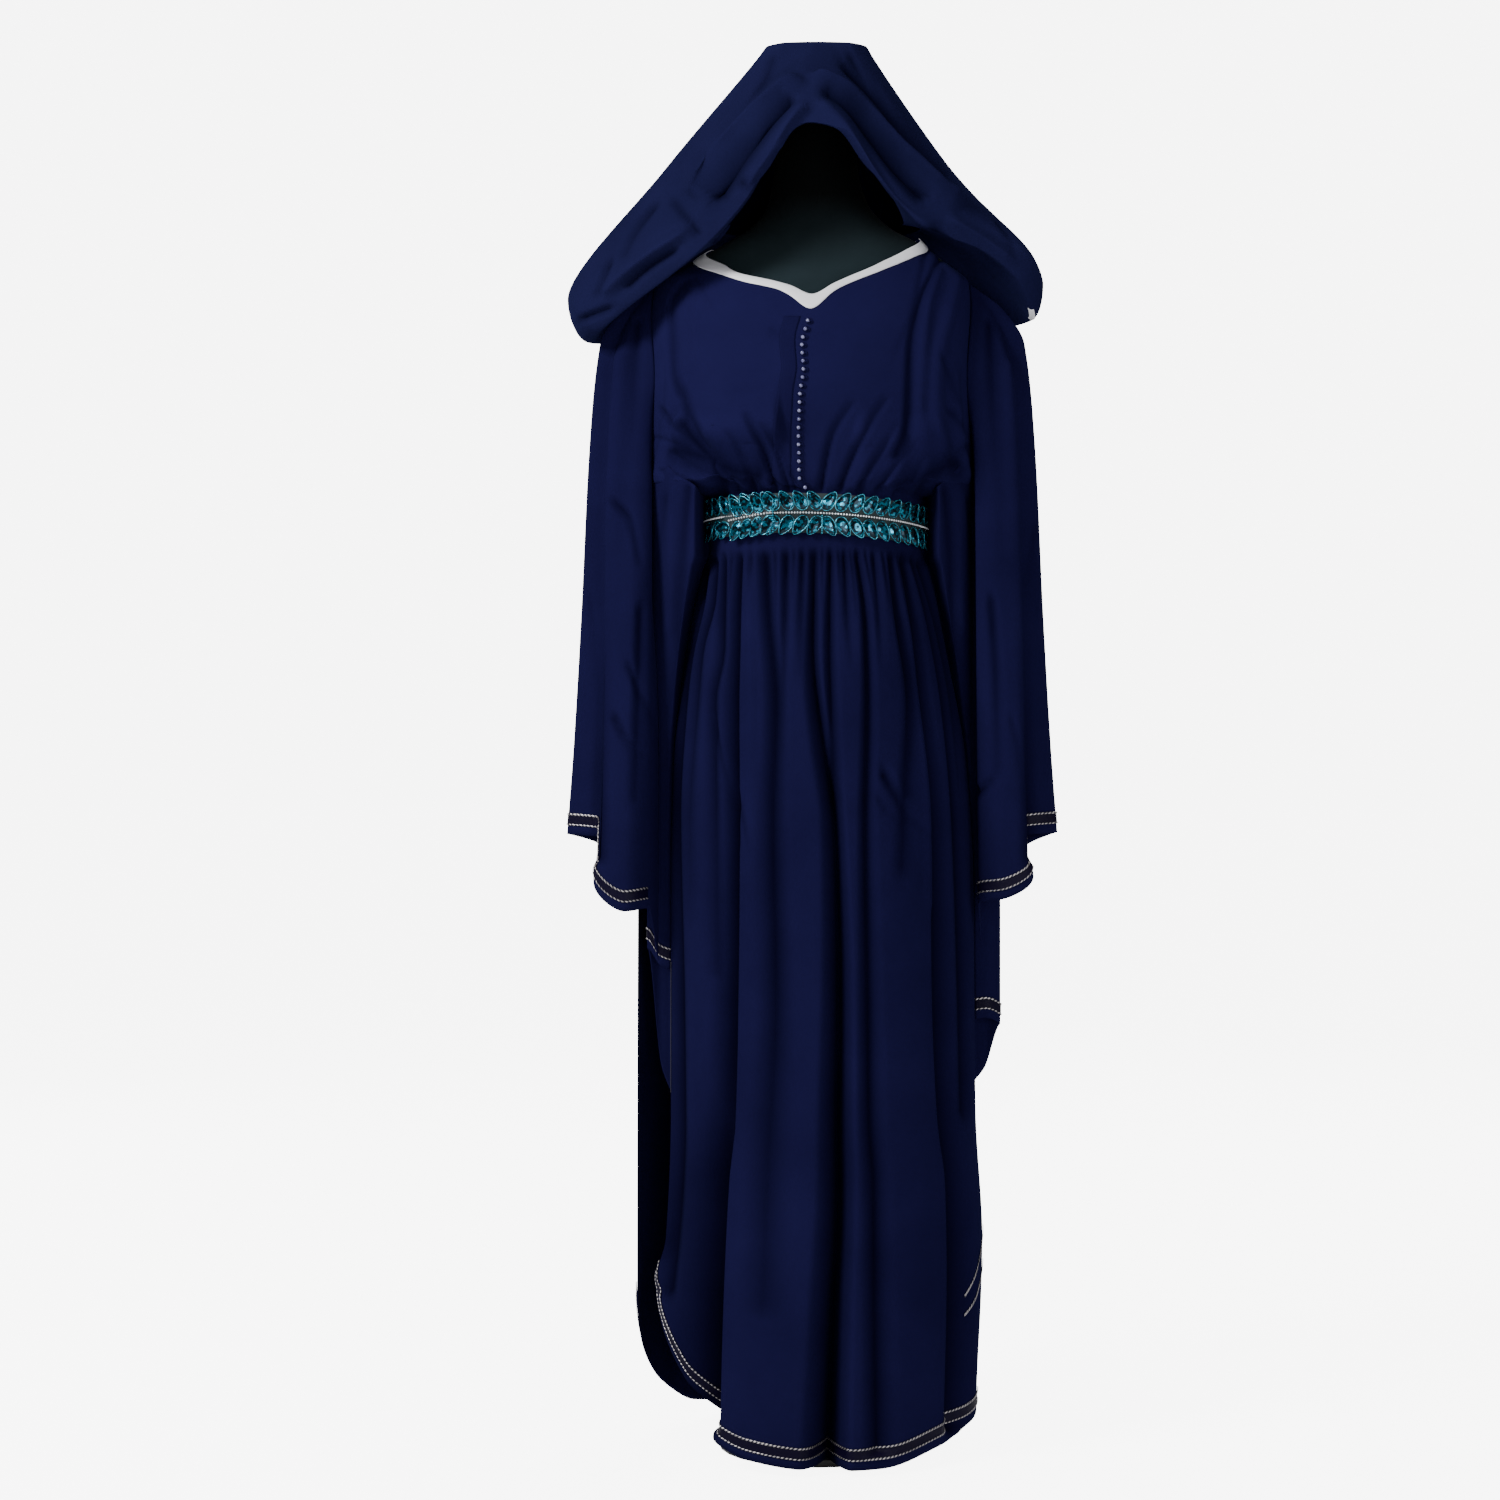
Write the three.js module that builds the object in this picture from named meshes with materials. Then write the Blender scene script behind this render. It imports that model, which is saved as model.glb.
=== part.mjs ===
import * as THREE from "three";

// Sizes in millimetres: x to the right, y away from the front, z up from the floor.
const WALL = 1.2; // cloth
const SEAM = 0.35; // gap left between sewn pieces
const RIM = SEAM + WALL / 2; // where two edge-on pieces meet, from the seam to each wall's middle
const WAIST = 1093;
const UNDERARM = 1142;
const SHOULDER = 1381; // top of the armhole
const ARMHOLE_EASE = 1.5; // a curved seam needs this much more than a straight one
const HEM_PLAIN = 12; // plain cloth below the trim band
const TRIM = 18; // height of the trim band
const BEAD = 6; // button diameter
const BELT_HIGH = 56;
const BELT_BASE = 2;
const STONE_RISE = 3;
const STONES = 44; // belt stones round one row
const CAP_TOP = 1654; // top of the neck cap
const BASE_RADIUS = 115;

const NAVY = "#141c3d";
const SATIN = "#e9e9ee";
const FORM = "#20282c";
const METAL = "#24262a";

// A smooth curve without overshoot through one column of a table.
function along(table, by, key, t) {
  const n = table.length;
  if (t <= table[0][by]) return table[0][key];
  if (t >= table[n - 1][by]) return table[n - 1][key];
  let i = 0;
  while (t > table[i + 1][by]) i += 1;
  const rise = (k) => (table[k + 1][key] - table[k][key]) / (table[k + 1][by] - table[k][by]);
  const lean = (k) => {
    if (k === 0) return rise(0);
    if (k === n - 1) return rise(n - 2);
    const a = rise(k - 1);
    const b = rise(k);
    return a * b <= 0 ? 0 : (2 * a * b) / (a + b);
  };
  const span = table[i + 1][by] - table[i][by];
  const s = (t - table[i][by]) / span;
  const a = s * s * (3 - 2 * s);
  const left = s * (1 - s) * (1 - s) * span * lean(i);
  const right = s * s * (s - 1) * span * lean(i + 1);
  return table[i][key] * (1 - a) + table[i + 1][key] * a + left + right;
}

const mix = (a, b, t) => a + (b - a) * t;
const ease = (a, b, t) => {
  const s = Math.min(1, Math.max(0, (t - a) / (b - a)));
  return s * s * (3 - 2 * s);
};
const steps = (a, b, n) => Array.from({ length: n + 1 }, (_, i) => mix(a, b, i / n));
const vec = (x, y, z) => new THREE.Vector3(x, y, z);
// A rounded ridge, one at its middle and nothing a width away.
const ridge = (t, middle, width) => {
  const s = Math.abs(t - middle) / width;
  return s < 1 ? (1 + Math.cos(Math.PI * s)) / 2 : 0;
};

const group = new THREE.Group();

function addMesh(name, points, faces, colour) {
  let volume = 0;
  for (const [a, b, c] of faces)
    volume += points[a].dot(points[b].clone().cross(points[c]));
  const flat = [];
  for (const [a, b, c] of faces)
    for (const k of volume > 0 ? [a, b, c] : [a, c, b]) flat.push(...points[k].toArray());
  const geometry = new THREE.BufferGeometry();
  geometry.setAttribute("position", new THREE.Float32BufferAttribute(flat, 3));
  geometry.computeVertexNormals();
  const mesh = new THREE.Mesh(geometry, new THREE.MeshStandardMaterial({ color: colour }));
  mesh.name = name;
  group.add(mesh);
}

// The middle points of a sheet and its normals, from the grid itself.
function grid(us, vs, at, ring) {
  const p = us.map((u) => vs.map((v) => at(u, v)));
  const n = p.map((row, i) =>
    row.map((_, j) => {
      const last = us.length - 1;
      const before = ring ? (i + last) % us.length : Math.max(0, i - 1);
      const after = ring ? (i + 1) % us.length : Math.min(last, i + 1);
      const du = p[after][j].clone().sub(p[before][j]);
      const dv = row[Math.min(vs.length - 1, j + 1)].clone().sub(row[Math.max(0, j - 1)]);
      return du.cross(dv).normalize();
    }),
  );
  return { p, n };
}

// A cloth wall about a sheet; out and back are the offsets of its two faces.
function wall(name, us, vs, at, colour, { out = WALL / 2, back = -WALL / 2, ring = false } = {}) {
  const { p, n } = grid(us, vs, at, ring);
  const rows = vs.length;
  const points = [];
  for (const offset of [out, back])
    p.forEach((row, i) =>
      row.forEach((q, j) => points.push(q.clone().addScaledVector(n[i][j], offset))),
    );
  const half = us.length * rows;
  const id = (i, j, side) => side * half + (i % us.length) * rows + j;
  const faces = [];
  const quad = (a, b, c, d) => faces.push([a, b, c], [a, c, d]);
  const columns = ring ? us.length : us.length - 1;
  for (let i = 0; i < columns; i += 1)
    for (let j = 0; j < rows - 1; j += 1) {
      quad(id(i, j, 0), id(i + 1, j, 0), id(i + 1, j + 1, 0), id(i, j + 1, 0));
      faces.push([id(i, j, 1), id(i + 1, j + 1, 1), id(i + 1, j, 1)]);
      faces.push([id(i, j, 1), id(i, j + 1, 1), id(i + 1, j + 1, 1)]);
    }
  for (let i = 0; i < columns; i += 1) {
    quad(id(i, 0, 0), id(i, 0, 1), id(i + 1, 0, 1), id(i + 1, 0, 0));
    const j = rows - 1;
    quad(id(i, j, 0), id(i + 1, j, 0), id(i + 1, j, 1), id(i, j, 1));
  }
  if (!ring)
    for (let j = 0; j < rows - 1; j += 1) {
      quad(id(0, j, 0), id(0, j + 1, 0), id(0, j + 1, 1), id(0, j, 1));
      const i = us.length - 1;
      quad(id(i, j, 0), id(i, j, 1), id(i, j + 1, 1), id(i, j + 1, 0));
    }
  addMesh(name, points, faces, colour);
}

// A solid of closed horizontal rings with flat ends.
function stack(name, rings, colour) {
  const sides = rings[0].length;
  const points = rings.flat();
  const faces = [];
  for (let k = 0; k < rings.length - 1; k += 1)
    for (let i = 0; i < sides; i += 1) {
      const a = k * sides + i;
      const b = k * sides + ((i + 1) % sides);
      faces.push([a, b, b + sides], [a, b + sides, a + sides]);
    }
  const middle = (ring) =>
    ring.reduce((sum, q) => sum.add(q), vec(0, 0, 0)).divideScalar(sides);
  const low = points.push(middle(rings[0])) - 1;
  const high = points.push(middle(rings[rings.length - 1])) - 1;
  const top = (rings.length - 1) * sides;
  for (let i = 0; i < sides; i += 1) {
    faces.push([low, (i + 1) % sides, i]);
    faces.push([high, top + i, top + ((i + 1) % sides)]);
  }
  addMesh(name, points, faces, colour);
}

// ---- bodice, two panels that meet along the shoulders and below the armholes

const BODICE = [
  { z: WAIST, middle: 0, wide: 125, front: 94, back: 88 },
  { z: 1124, middle: 0, wide: 126, front: 96, back: 89 },
  { z: 1133, middle: -4, wide: 164, front: 101, back: 92 },
  { z: UNDERARM, middle: -7, wide: 192, front: 105, back: 94 },
  { z: 1180, middle: -7, wide: 193, front: 114, back: 98 },
  { z: 1240, middle: -7, wide: 193, front: 121, back: 102 },
  { z: 1310, middle: -7, wide: 192, front: 112, back: 104 },
  { z: 1346, middle: -6, wide: 190, front: 101, back: 100 },
  { z: SHOULDER, middle: -4, wide: 185, front: 84, back: 86 },
  { z: 1400, middle: 2, wide: 158, front: 70, back: 74 },
  { z: 1428, middle: 7, wide: 119, front: 58, back: 62 },
  { z: 1440, middle: 9, wide: 108, front: 54, back: 58 },
];
// The neckline: across is the share of the way round the front, from one shoulder to the other.
const NECKLINE = [
  { across: 0, z: 1420 },
  { across: 0.28, z: 1393 },
  { across: 0.355, z: 1379 },
  { across: 0.412, z: 1369 },
  { across: 0.453, z: 1360 },
  { across: 0.498, z: 1345 },
  { across: 0.543, z: 1364 },
  { across: 0.595, z: 1382 },
  { across: 0.672, z: 1400 },
  { across: 0.79, z: 1417 },
  { across: 1, z: 1434 },
];
const NAPE = [
  { across: 0, z: 1420 },
  { across: 0.3, z: 1430 },
  { across: 0.7, z: 1431 },
  { across: 1, z: 1434 },
];
// Gathers over the belt and long folds of the front: ends as shares across, low then high.
const BODICE_FOLDS = [
  { low: 0.12, high: 0.1, foot: 1121, head: 1300, rise: 5, wide: 0.05 },
  { low: 0.22, high: 0.14, foot: 1121, head: 1240, rise: 4, wide: 0.04 },
  { low: 0.31, high: 0.27, foot: 1121, head: 1200, rise: 4, wide: 0.035 },
  { low: 0.39, high: 0.37, foot: 1121, head: 1180, rise: 3, wide: 0.03 },
  { low: 0.59, high: 0.62, foot: 1121, head: 1175, rise: 3, wide: 0.03 },
  { low: 0.66, high: 0.7, foot: 1121, head: 1200, rise: 4, wide: 0.035 },
  { low: 0.74, high: 0.78, foot: 1121, head: 1230, rise: 4, wide: 0.04 },
  { low: 0.8, high: 0.88, foot: 1125, head: 1420, rise: 6, wide: 0.05 },
  { low: 0.9, high: 0.93, foot: 1125, head: 1280, rise: 5, wide: 0.04 },
];
const BACK_FOLDS = [
  { low: 0.2, high: 0.16, foot: 1121, head: 1300, rise: 5, wide: 0.06 },
  { low: 0.36, high: 0.34, foot: 1121, head: 1240, rise: 4, wide: 0.05 },
  { low: 0.5, high: 0.5, foot: 1121, head: 1220, rise: 4, wide: 0.05 },
  { low: 0.65, high: 0.67, foot: 1121, head: 1250, rise: 4, wide: 0.05 },
  { low: 0.82, high: 0.86, foot: 1121, head: 1310, rise: 5, wide: 0.06 },
];

function folded(folds, a, z) {
  let rise = 0;
  for (const f of folds) {
    const t = (z - f.foot) / (f.head - f.foot);
    if (t <= 0 || t >= 1) continue;
    const swell = Math.min(1, 6 * t) * Math.cos((Math.PI / 2) * t ** 3);
    rise += f.rise * swell * ridge(a, mix(f.low, f.high, t), f.wide);
  }
  return rise;
}

// How far the armhole opens the side of a panel, as a share of the way round.
const armhole = (z) => {
  const t = (z - UNDERARM) / (SHOULDER - UNDERARM);
  return t > 0 && t < 1 ? 0.1 * Math.sin(Math.PI * t) : 0;
};

// A point of the bodice: side is -1 at the front and 1 at the back, a runs left to right.
function bodice(side, a, z, rise = 0) {
  const open = armhole(z);
  const turn = Math.PI * mix(open, 1 - open, a);
  const deep = along(BODICE, "z", side < 0 ? "front" : "back", z);
  const wide = along(BODICE, "z", "wide", z);
  const rim = RIM * (1 - Math.sin(turn) ** 2);
  const x = along(BODICE, "z", "middle", z) - (wide + rise) * Math.cos(turn);
  return vec(x, side * (rim + (deep + rise) * Math.sin(turn)), z);
}

// Rows run down from the neckline; the first two hold the neck binding.
const BINDING = [
  { across: 0, high: 11 },
  { across: 0.42, high: 11 },
  { across: 0.49, high: 20 },
  { across: 0.56, high: 11 },
  { across: 1, high: 11 },
];
function bodiceFront(a, v) {
  const top = along(NECKLINE, "across", "z", a);
  const band = along(BINDING, "across", "high", a);
  const z = v < 0 ? top - band * (v + 1) : mix(top - band, WAIST + SEAM, v);
  return bodice(-1, a, z, folded(BODICE_FOLDS, a, z));
}
function bodiceBack(a, v) {
  const top = along(NAPE, "across", "z", a);
  const z = v < 0 ? top - 11 * (v + 1) : mix(top - 11, WAIST + SEAM, v);
  return bodice(1, a, z, folded(BACK_FOLDS, a, z));
}
const DOWN = [-1, 0, 0.08, 0.17, 0.27, 0.38, 0.5, 0.62, 0.73, 0.81, 0.86, 0.9, 0.94, 1];
wall("bodice_front", steps(0, 1, 30), DOWN, bodiceFront, NAVY);
wall("bodice_back", steps(0, 1, 20), DOWN, bodiceBack, NAVY);
// A band laid on a panel, on the side its normal points to or on the other one.
const LAID = { out: WALL / 2 + 1.3, back: WALL / 2 + 0.5 };
const LAID_UNDER = { out: -WALL / 2 - 0.5, back: -WALL / 2 - 1.3 };
wall("binding_front", steps(0, 1, 30), [-1, 0], bodiceFront, SATIN, LAID_UNDER);
wall("binding_back", steps(0, 1, 20), [-1, 0], bodiceBack, SATIN, LAID);

// ---- buttons down the front, each seated on the panel

const BUTTONS = [
  { row: 0, across: 0.49 },
  { row: 3, across: 0.476 },
  { row: 6, across: 0.479 },
  { row: 9, across: 0.471 },
  { row: 13, across: 0.47 },
  { row: 17, across: 0.474 },
  { row: 20, across: 0.476 },
];
const FIRST_BUTTON = 1320;
const LAST_BUTTON = 1131;
for (let k = 0; k <= 20; k += 1) {
  const a = along(BUTTONS, "row", "across", k);
  const z = mix(FIRST_BUTTON, LAST_BUTTON, k / 20);
  const seat = (s, h) => bodice(-1, s, h, folded(BODICE_FOLDS, s, h));
  const p = seat(a, z);
  const n = seat(a + 0.02, z).sub(p).cross(seat(a, z + 12).sub(p)).normalize();
  const ball = new THREE.SphereGeometry(BEAD / 2, 7, 4);
  ball.translate(...p.addScaledVector(n, WALL / 2 + 0.1 + BEAD / 2).toArray());
  const mesh = new THREE.Mesh(ball, new THREE.MeshStandardMaterial({ color: "#c9c7e2" }));
  mesh.name = `button_${String(k + 1).padStart(2, "0")}`;
  group.add(mesh);
}

// ---- skirt, two panels whose side edges hang free below the side gussets

const SKIRT_FRONT = [
  { z: 6, left: -190, right: 190, deep: 146, off: 8 },
  { z: 43, left: -190, right: 190, deep: 147, off: 8 },
  { z: 195, left: -190, right: 196, deep: 149, off: 8 },
  { z: 247, left: -178, right: 197, deep: 149, off: 8 },
  { z: 399, left: -172, right: 189, deep: 148, off: 8 },
  { z: 678, left: -172, right: 186, deep: 143, off: 8 },
  { z: 808, left: -169, right: 178, deep: 136, off: 8 },
  { z: 939, left: -154, right: 155, deep: 122, off: 6 },
  { z: 1040, left: -134, right: 134, deep: 99, off: 2 },
  { z: 1060, left: -126, right: 126, deep: 94.5, off: 1.2 },
  { z: WAIST, left: -125, right: 125, deep: 93, off: RIM },
];
const SKIRT_BACK = [
  { z: 6, left: -204, right: 186, deep: 168, off: 15 },
  { z: 170, left: -213, right: 192, deep: 166, off: 15 },
  { z: 640, left: -212, right: 186, deep: 152, off: 15 },
  { z: 760, left: -190, right: 176, deep: 146, off: 14 },
  { z: 939, left: -153, right: 153, deep: 128, off: 9 },
  { z: 1040, left: -134, right: 134, deep: 94, off: 2 },
  { z: 1060, left: -126, right: 126, deep: 89.5, off: 1.2 },
  { z: WAIST, left: -125, right: 125, deep: 88, off: RIM },
];
const HEM_FRONT = [
  { across: 0, z: 196 },
  { across: 0.06, z: 160 },
  { across: 0.13, z: 118 },
  { across: 0.2, z: 76 },
  { across: 0.26, z: 40 },
  { across: 0.36, z: 17 },
  { across: 0.5, z: 9 },
  { across: 0.62, z: 8 },
  { across: 0.75, z: 22 },
  { across: 0.88, z: 34 },
  { across: 1, z: 46 },
];
const HEM_BACK = [
  { across: 0, z: 166 },
  { across: 0.07, z: 104 },
  { across: 0.15, z: 60 },
  { across: 0.25, z: 26 },
  { across: 0.5, z: 12 },
  { across: 0.8, z: 16 },
  { across: 1, z: 52 },
];
// Main folds: shares across at the waist and at the hem, and where each starts and ends.
const FRONT_FOLDS = [
  { low: 0.06, high: 0.07, foot: -80, head: 1058, rise: 9, wide: 0.05 },
  { low: 0.145, high: 0.16, foot: 260, head: 1058, rise: 8, wide: 0.045 },
  { low: 0.31, high: 0.25, foot: -200, head: 1056, rise: 13, wide: 0.07 },
  { low: 0.43, high: 0.335, foot: -200, head: 1058, rise: 12, wide: 0.075 },
  { low: 0.44, high: 0.42, foot: 480, head: 1058, rise: 8, wide: 0.04 },
  { low: 0.485, high: 0.48, foot: 560, head: 1056, rise: 7, wide: 0.035 },
  { low: 0.59, high: 0.56, foot: -300, head: 1058, rise: 16, wide: 0.06 },
  { low: 0.66, high: 0.63, foot: 500, head: 1058, rise: 7, wide: 0.035 },
  { low: 0.735, high: 0.7, foot: -200, head: 1056, rise: 10, wide: 0.055 },
  { low: 0.82, high: 0.78, foot: 300, head: 1058, rise: 9, wide: 0.045 },
  { low: 0.87, high: 0.86, foot: -160, head: 1058, rise: 9, wide: 0.05 },
  { low: 0.95, high: 0.94, foot: -100, head: 1056, rise: 8, wide: 0.04 },
];
const BACK_SKIRT_FOLDS = [
  { low: 0.08, high: 0.1, foot: -120, head: 1058, rise: 10, wide: 0.055 },
  { low: 0.2, high: 0.2, foot: -200, head: 1058, rise: 13, wide: 0.06 },
  { low: 0.32, high: 0.31, foot: 200, head: 1056, rise: 10, wide: 0.05 },
  { low: 0.42, high: 0.41, foot: -200, head: 1058, rise: 14, wide: 0.06 },
  { low: 0.55, high: 0.52, foot: -160, head: 1058, rise: 13, wide: 0.06 },
  { low: 0.66, high: 0.64, foot: 260, head: 1056, rise: 9, wide: 0.045 },
  { low: 0.76, high: 0.77, foot: -200, head: 1058, rise: 14, wide: 0.06 },
  { low: 0.9, high: 0.89, foot: -100, head: 1058, rise: 9, wide: 0.05 },
];

function skirt(side, table, folds, a, z) {
  const left = along(table, "z", "left", z);
  const right = along(table, "z", "right", z);
  const deep = along(table, "z", "deep", z) + folded(folds, a, z);
  const spread = mix(1.25, 1, ease(800, 1060, z));
  const x = (left + right) / 2 - ((right - left) / 2) * Math.cos(Math.PI * a);
  const y = along(table, "z", "off", z) + deep * Math.sin(Math.PI * a) ** spread;
  return vec(x, side * y, z);
}
// Rows 0 to 1 run down to the trim band, 1 to 2 across it and 2 to 3 to the edge.
function hang(top, bottom, v) {
  const plain = bottom + HEM_PLAIN;
  if (v > 2) return mix(plain, bottom, v - 2);
  return v > 1 ? mix(plain + TRIM, plain, v - 1) : mix(top, plain + TRIM, v);
}
const skirtFront = (a, v) =>
  skirt(-1, SKIRT_FRONT, FRONT_FOLDS, a,
    hang(WAIST - SEAM, along(HEM_FRONT, "across", "z", a), v));
const skirtBack = (a, v) =>
  skirt(1, SKIRT_BACK, BACK_SKIRT_FOLDS, a,
    hang(WAIST - SEAM, along(HEM_BACK, "across", "z", a), v));
const FALL = [0, 0.03, 0.055, 0.1, 0.17, 0.26, 0.38, 0.52, 0.68, 0.84, 1, 2, 3];
wall("skirt_front", steps(0, 1, 44), FALL, skirtFront, NAVY);
wall("skirt_back", steps(0, 1, 28), FALL, skirtBack, NAVY);
wall("trim_front", steps(0, 1, 44), [1, 2], skirtFront, NAVY, LAID_UNDER);
wall("trim_back", steps(0, 1, 28), [1, 2], skirtBack, NAVY, LAID);

// ---- sleeves, each folded along its outer line, with its free lower edge in falling steps

const SLEEVE_LEFT = [
  { way: 0, x: -187, y: -26, z: 577 },
  { way: 0.12, x: -200, y: -44, z: 640 },
  { way: 0.22, x: -226, y: -60, z: 637 },
  { way: 0.32, x: -262, y: -50, z: 671 },
  { way: 0.37, x: -261, y: -36, z: 716 },
  { way: 0.42, x: -262, y: -20, z: 723 },
  { way: 0.5, x: -296, y: 0, z: 726 },
  { way: 0.62, x: -262, y: 24, z: 715 },
  { way: 0.8, x: -238, y: 34, z: 690 },
  { way: 1, x: -219, y: 26, z: 640 },
];
const SLEEVE_RIGHT = [
  { way: 0, x: 194, y: -26, z: 600 },
  { way: 0.12, x: 190, y: -46, z: 646 },
  { way: 0.22, x: 220, y: -60, z: 652 },
  { way: 0.32, x: 254, y: -50, z: 678 },
  { way: 0.37, x: 252, y: -36, z: 718 },
  { way: 0.42, x: 253, y: -20, z: 725 },
  { way: 0.5, x: 287, y: 0, z: 728 },
  { way: 0.62, x: 258, y: 26, z: 715 },
  { way: 0.8, x: 228, y: 40, z: 690 },
  { way: 1, x: 196, y: 30, z: 650 },
];
// How soon a column leaves the armhole for its place at the hem.
const SPREAD = [
  { fall: 0, wide: 0 },
  { fall: 0.05, wide: 0.4 },
  { fall: 0.11, wide: 0.63 },
  { fall: 0.3, wide: 0.75 },
  { fall: 0.6, wide: 0.84 },
  { fall: 0.85, wide: 0.93 },
  { fall: 1, wide: 1 },
];
const sleeve = (hand, table) => (s, v) => {
  const rise = Math.sin(Math.PI * s) ** 0.8;
  const high = mix(UNDERARM, SHOULDER, rise);
  const side = s < 0.5 ? -1 : 1;
  const edge = bodice(side, hand < 0 ? 0 : 1, high);
  const start = vec(edge.x + hand * (RIM + ARMHOLE_EASE), s === 0.5 ? 0 : edge.y, high);
  const foot = along(table, "way", "z", s);
  const z = hang(high, foot, v);
  const fall = (high - z) / (high - foot);
  const end = along(table, "way", "x", s);
  const inward = hand * (end - start.x) < 0;
  const out = inward ? ease(UNDERARM - 14, UNDERARM - 300, z) : along(SPREAD, "fall", "wide", fall);
  const x = mix(start.x, end, out);
  return vec(x, mix(start.y, along(table, "way", "y", s), Math.sqrt(fall)), z);
};
const ROUND = steps(0, 1, 24);
const ARM = [0, 0.04, 0.09, 0.16, 0.26, 0.38, 0.52, 0.68, 0.84, 1, 2, 3];
wall("sleeve_left", ROUND, ARM, sleeve(-1, SLEEVE_LEFT), NAVY);
wall("sleeve_right", ROUND, ARM, sleeve(1, SLEEVE_RIGHT), NAVY);
wall("trim_sleeve_left", ROUND, [1, 2], sleeve(-1, SLEEVE_LEFT), NAVY, LAID);
wall("trim_sleeve_right", ROUND, [1, 2], sleeve(1, SLEEVE_RIGHT), NAVY, LAID_UNDER);

// ---- side gussets, folded strips that carry the free edge from sleeve to skirt

const GUSSET_LEFT = [
  { way: 0, headX: -140, headY: -3, headZ: 1125.8, x: -178, y: -8, z: 564 },
  { way: 0.25, headX: -170, headY: -3, headZ: 1131.4, x: -186, y: -9, z: 570 },
  { way: 0.5, headX: -197, headY: 0, headZ: 1138, x: -197, y: 0, z: 590 },
  { way: 0.75, headX: -170, headY: 3, headZ: 1131.4, x: -190, y: 9, z: 450 },
  { way: 1, headX: -140, headY: 3, headZ: 1125.8, x: -180, y: 8, z: 409 },
];
const GUSSET_RIGHT = [
  { way: 0, headX: 140, headY: -3, headZ: 1127, x: 194, y: -6, z: 505 },
  { way: 0.25, headX: 162, headY: -3, headZ: 1132.6, x: 203, y: -8, z: 508 },
  { way: 0.5, headX: 184, headY: 0, headZ: 1138, x: 219, y: 0, z: 500 },
  { way: 0.75, headX: 162, headY: 3, headZ: 1132.6, x: 208, y: 8, z: 448 },
  { way: 1, headX: 140, headY: 3, headZ: 1127, x: 193, y: 8, z: 427 },
];
const gusset = (hand, table) => (s, v) => {
  const get = (key) => along(table, "way", key, s);
  const z = hang(get("headZ"), get("z"), v);
  const edge = hand < 0 ? -along(SKIRT_FRONT, "z", "left", z) : along(SKIRT_FRONT, "z", "right", z);
  const fall = (get("headZ") - z) / (get("headZ") - get("z"));
  const side = 1 - Math.abs(2 * s - 1);
  const inner = Math.max(edge + 1.5, 138);
  const outer = hand < 0 ? mix(197, 197, fall) : mix(184, 219, ease(0.08, 0.75, fall));
  const x = mix(inner, outer, side);
  return vec(hand * x, mix(get("headY"), get("y"), Math.sqrt(fall)), z);
};
const HALVES = steps(0, 1, 8);
const STRIP = [0, 0.06, 0.14, 0.26, 0.4, 0.56, 0.72, 0.86, 1, 2, 3];
wall("gusset_left", HALVES, STRIP, gusset(-1, GUSSET_LEFT), NAVY);
wall("gusset_right", HALVES, STRIP, gusset(1, GUSSET_RIGHT), NAVY);

// ---- hood, round from the back; the bag hangs over each shoulder and turns in to the neck

const HOOD = [
  { turn: -180, beamX: 0, beamZ: 1560, bagX: 0, bagZ: 1424, foldX: 0, foldZ: 1352 },
  { turn: -135, beamX: -118, beamZ: 1540, bagX: -208, bagZ: 1400, foldX: -186, foldZ: 1328 },
  { turn: -90, beamX: -180, beamZ: 1516, bagX: -295, bagZ: 1362, foldX: -271, foldZ: 1312 },
  { turn: -72, beamX: -175, beamZ: 1511, bagX: -287, bagZ: 1358, foldX: -258, foldZ: 1318 },
  { turn: -58, beamX: -163, beamZ: 1497, bagX: -254, bagZ: 1371, foldX: -224, foldZ: 1342 },
  { turn: -45, beamX: -149, beamZ: 1487, bagX: -206, bagZ: 1399, foldX: -174, foldZ: 1376 },
  { turn: -33, beamX: -127, beamZ: 1492, bagX: -155, bagZ: 1429, foldX: -133, foldZ: 1407 },
  { turn: -20, beamX: -96, beamZ: 1532, bagX: -104, bagZ: 1482, foldX: -84, foldZ: 1459 },
  { turn: -9, beamX: -55, beamZ: 1582, bagX: -58, bagZ: 1545, foldX: -42, foldZ: 1529 },
  { turn: 0, beamX: -17, beamZ: 1612, bagX: -19, bagZ: 1568, foldX: -10, foldZ: 1547 },
  { turn: 9, beamX: 21, beamZ: 1603, bagX: 23, bagZ: 1564, foldX: 27, foldZ: 1539 },
  { turn: 20, beamX: 58, beamZ: 1567, bagX: 62, bagZ: 1521, foldX: 62, foldZ: 1496 },
  { turn: 33, beamX: 94, beamZ: 1529, bagX: 104, bagZ: 1480, foldX: 98, foldZ: 1455 },
  { turn: 45, beamX: 118, beamZ: 1515, bagX: 154, bagZ: 1455, foldX: 140, foldZ: 1427 },
  { turn: 58, beamX: 135, beamZ: 1516, bagX: 208, bagZ: 1431, foldX: 196, foldZ: 1408 },
  { turn: 72, beamX: 147, beamZ: 1521, bagX: 257, bagZ: 1400, foldX: 242, foldZ: 1373 },
  { turn: 90, beamX: 154, beamZ: 1525, bagX: 270, bagZ: 1379, foldX: 258, foldZ: 1340 },
  { turn: 135, beamX: 112, beamZ: 1540, bagX: 200, bagZ: 1404, foldX: 180, foldZ: 1336 },
  { turn: 180, beamX: 0, beamZ: 1560, bagX: 0, bagZ: 1424, foldX: 0, foldZ: 1352 },
];
const HOOD_REACH = { beam: [92, 108], bag: [122, 165], fold: [124, 150] };
const HOOD_TOP = CAP_TOP + SEAM + WALL / 2;
const NECK_SEAM = 1446;

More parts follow.
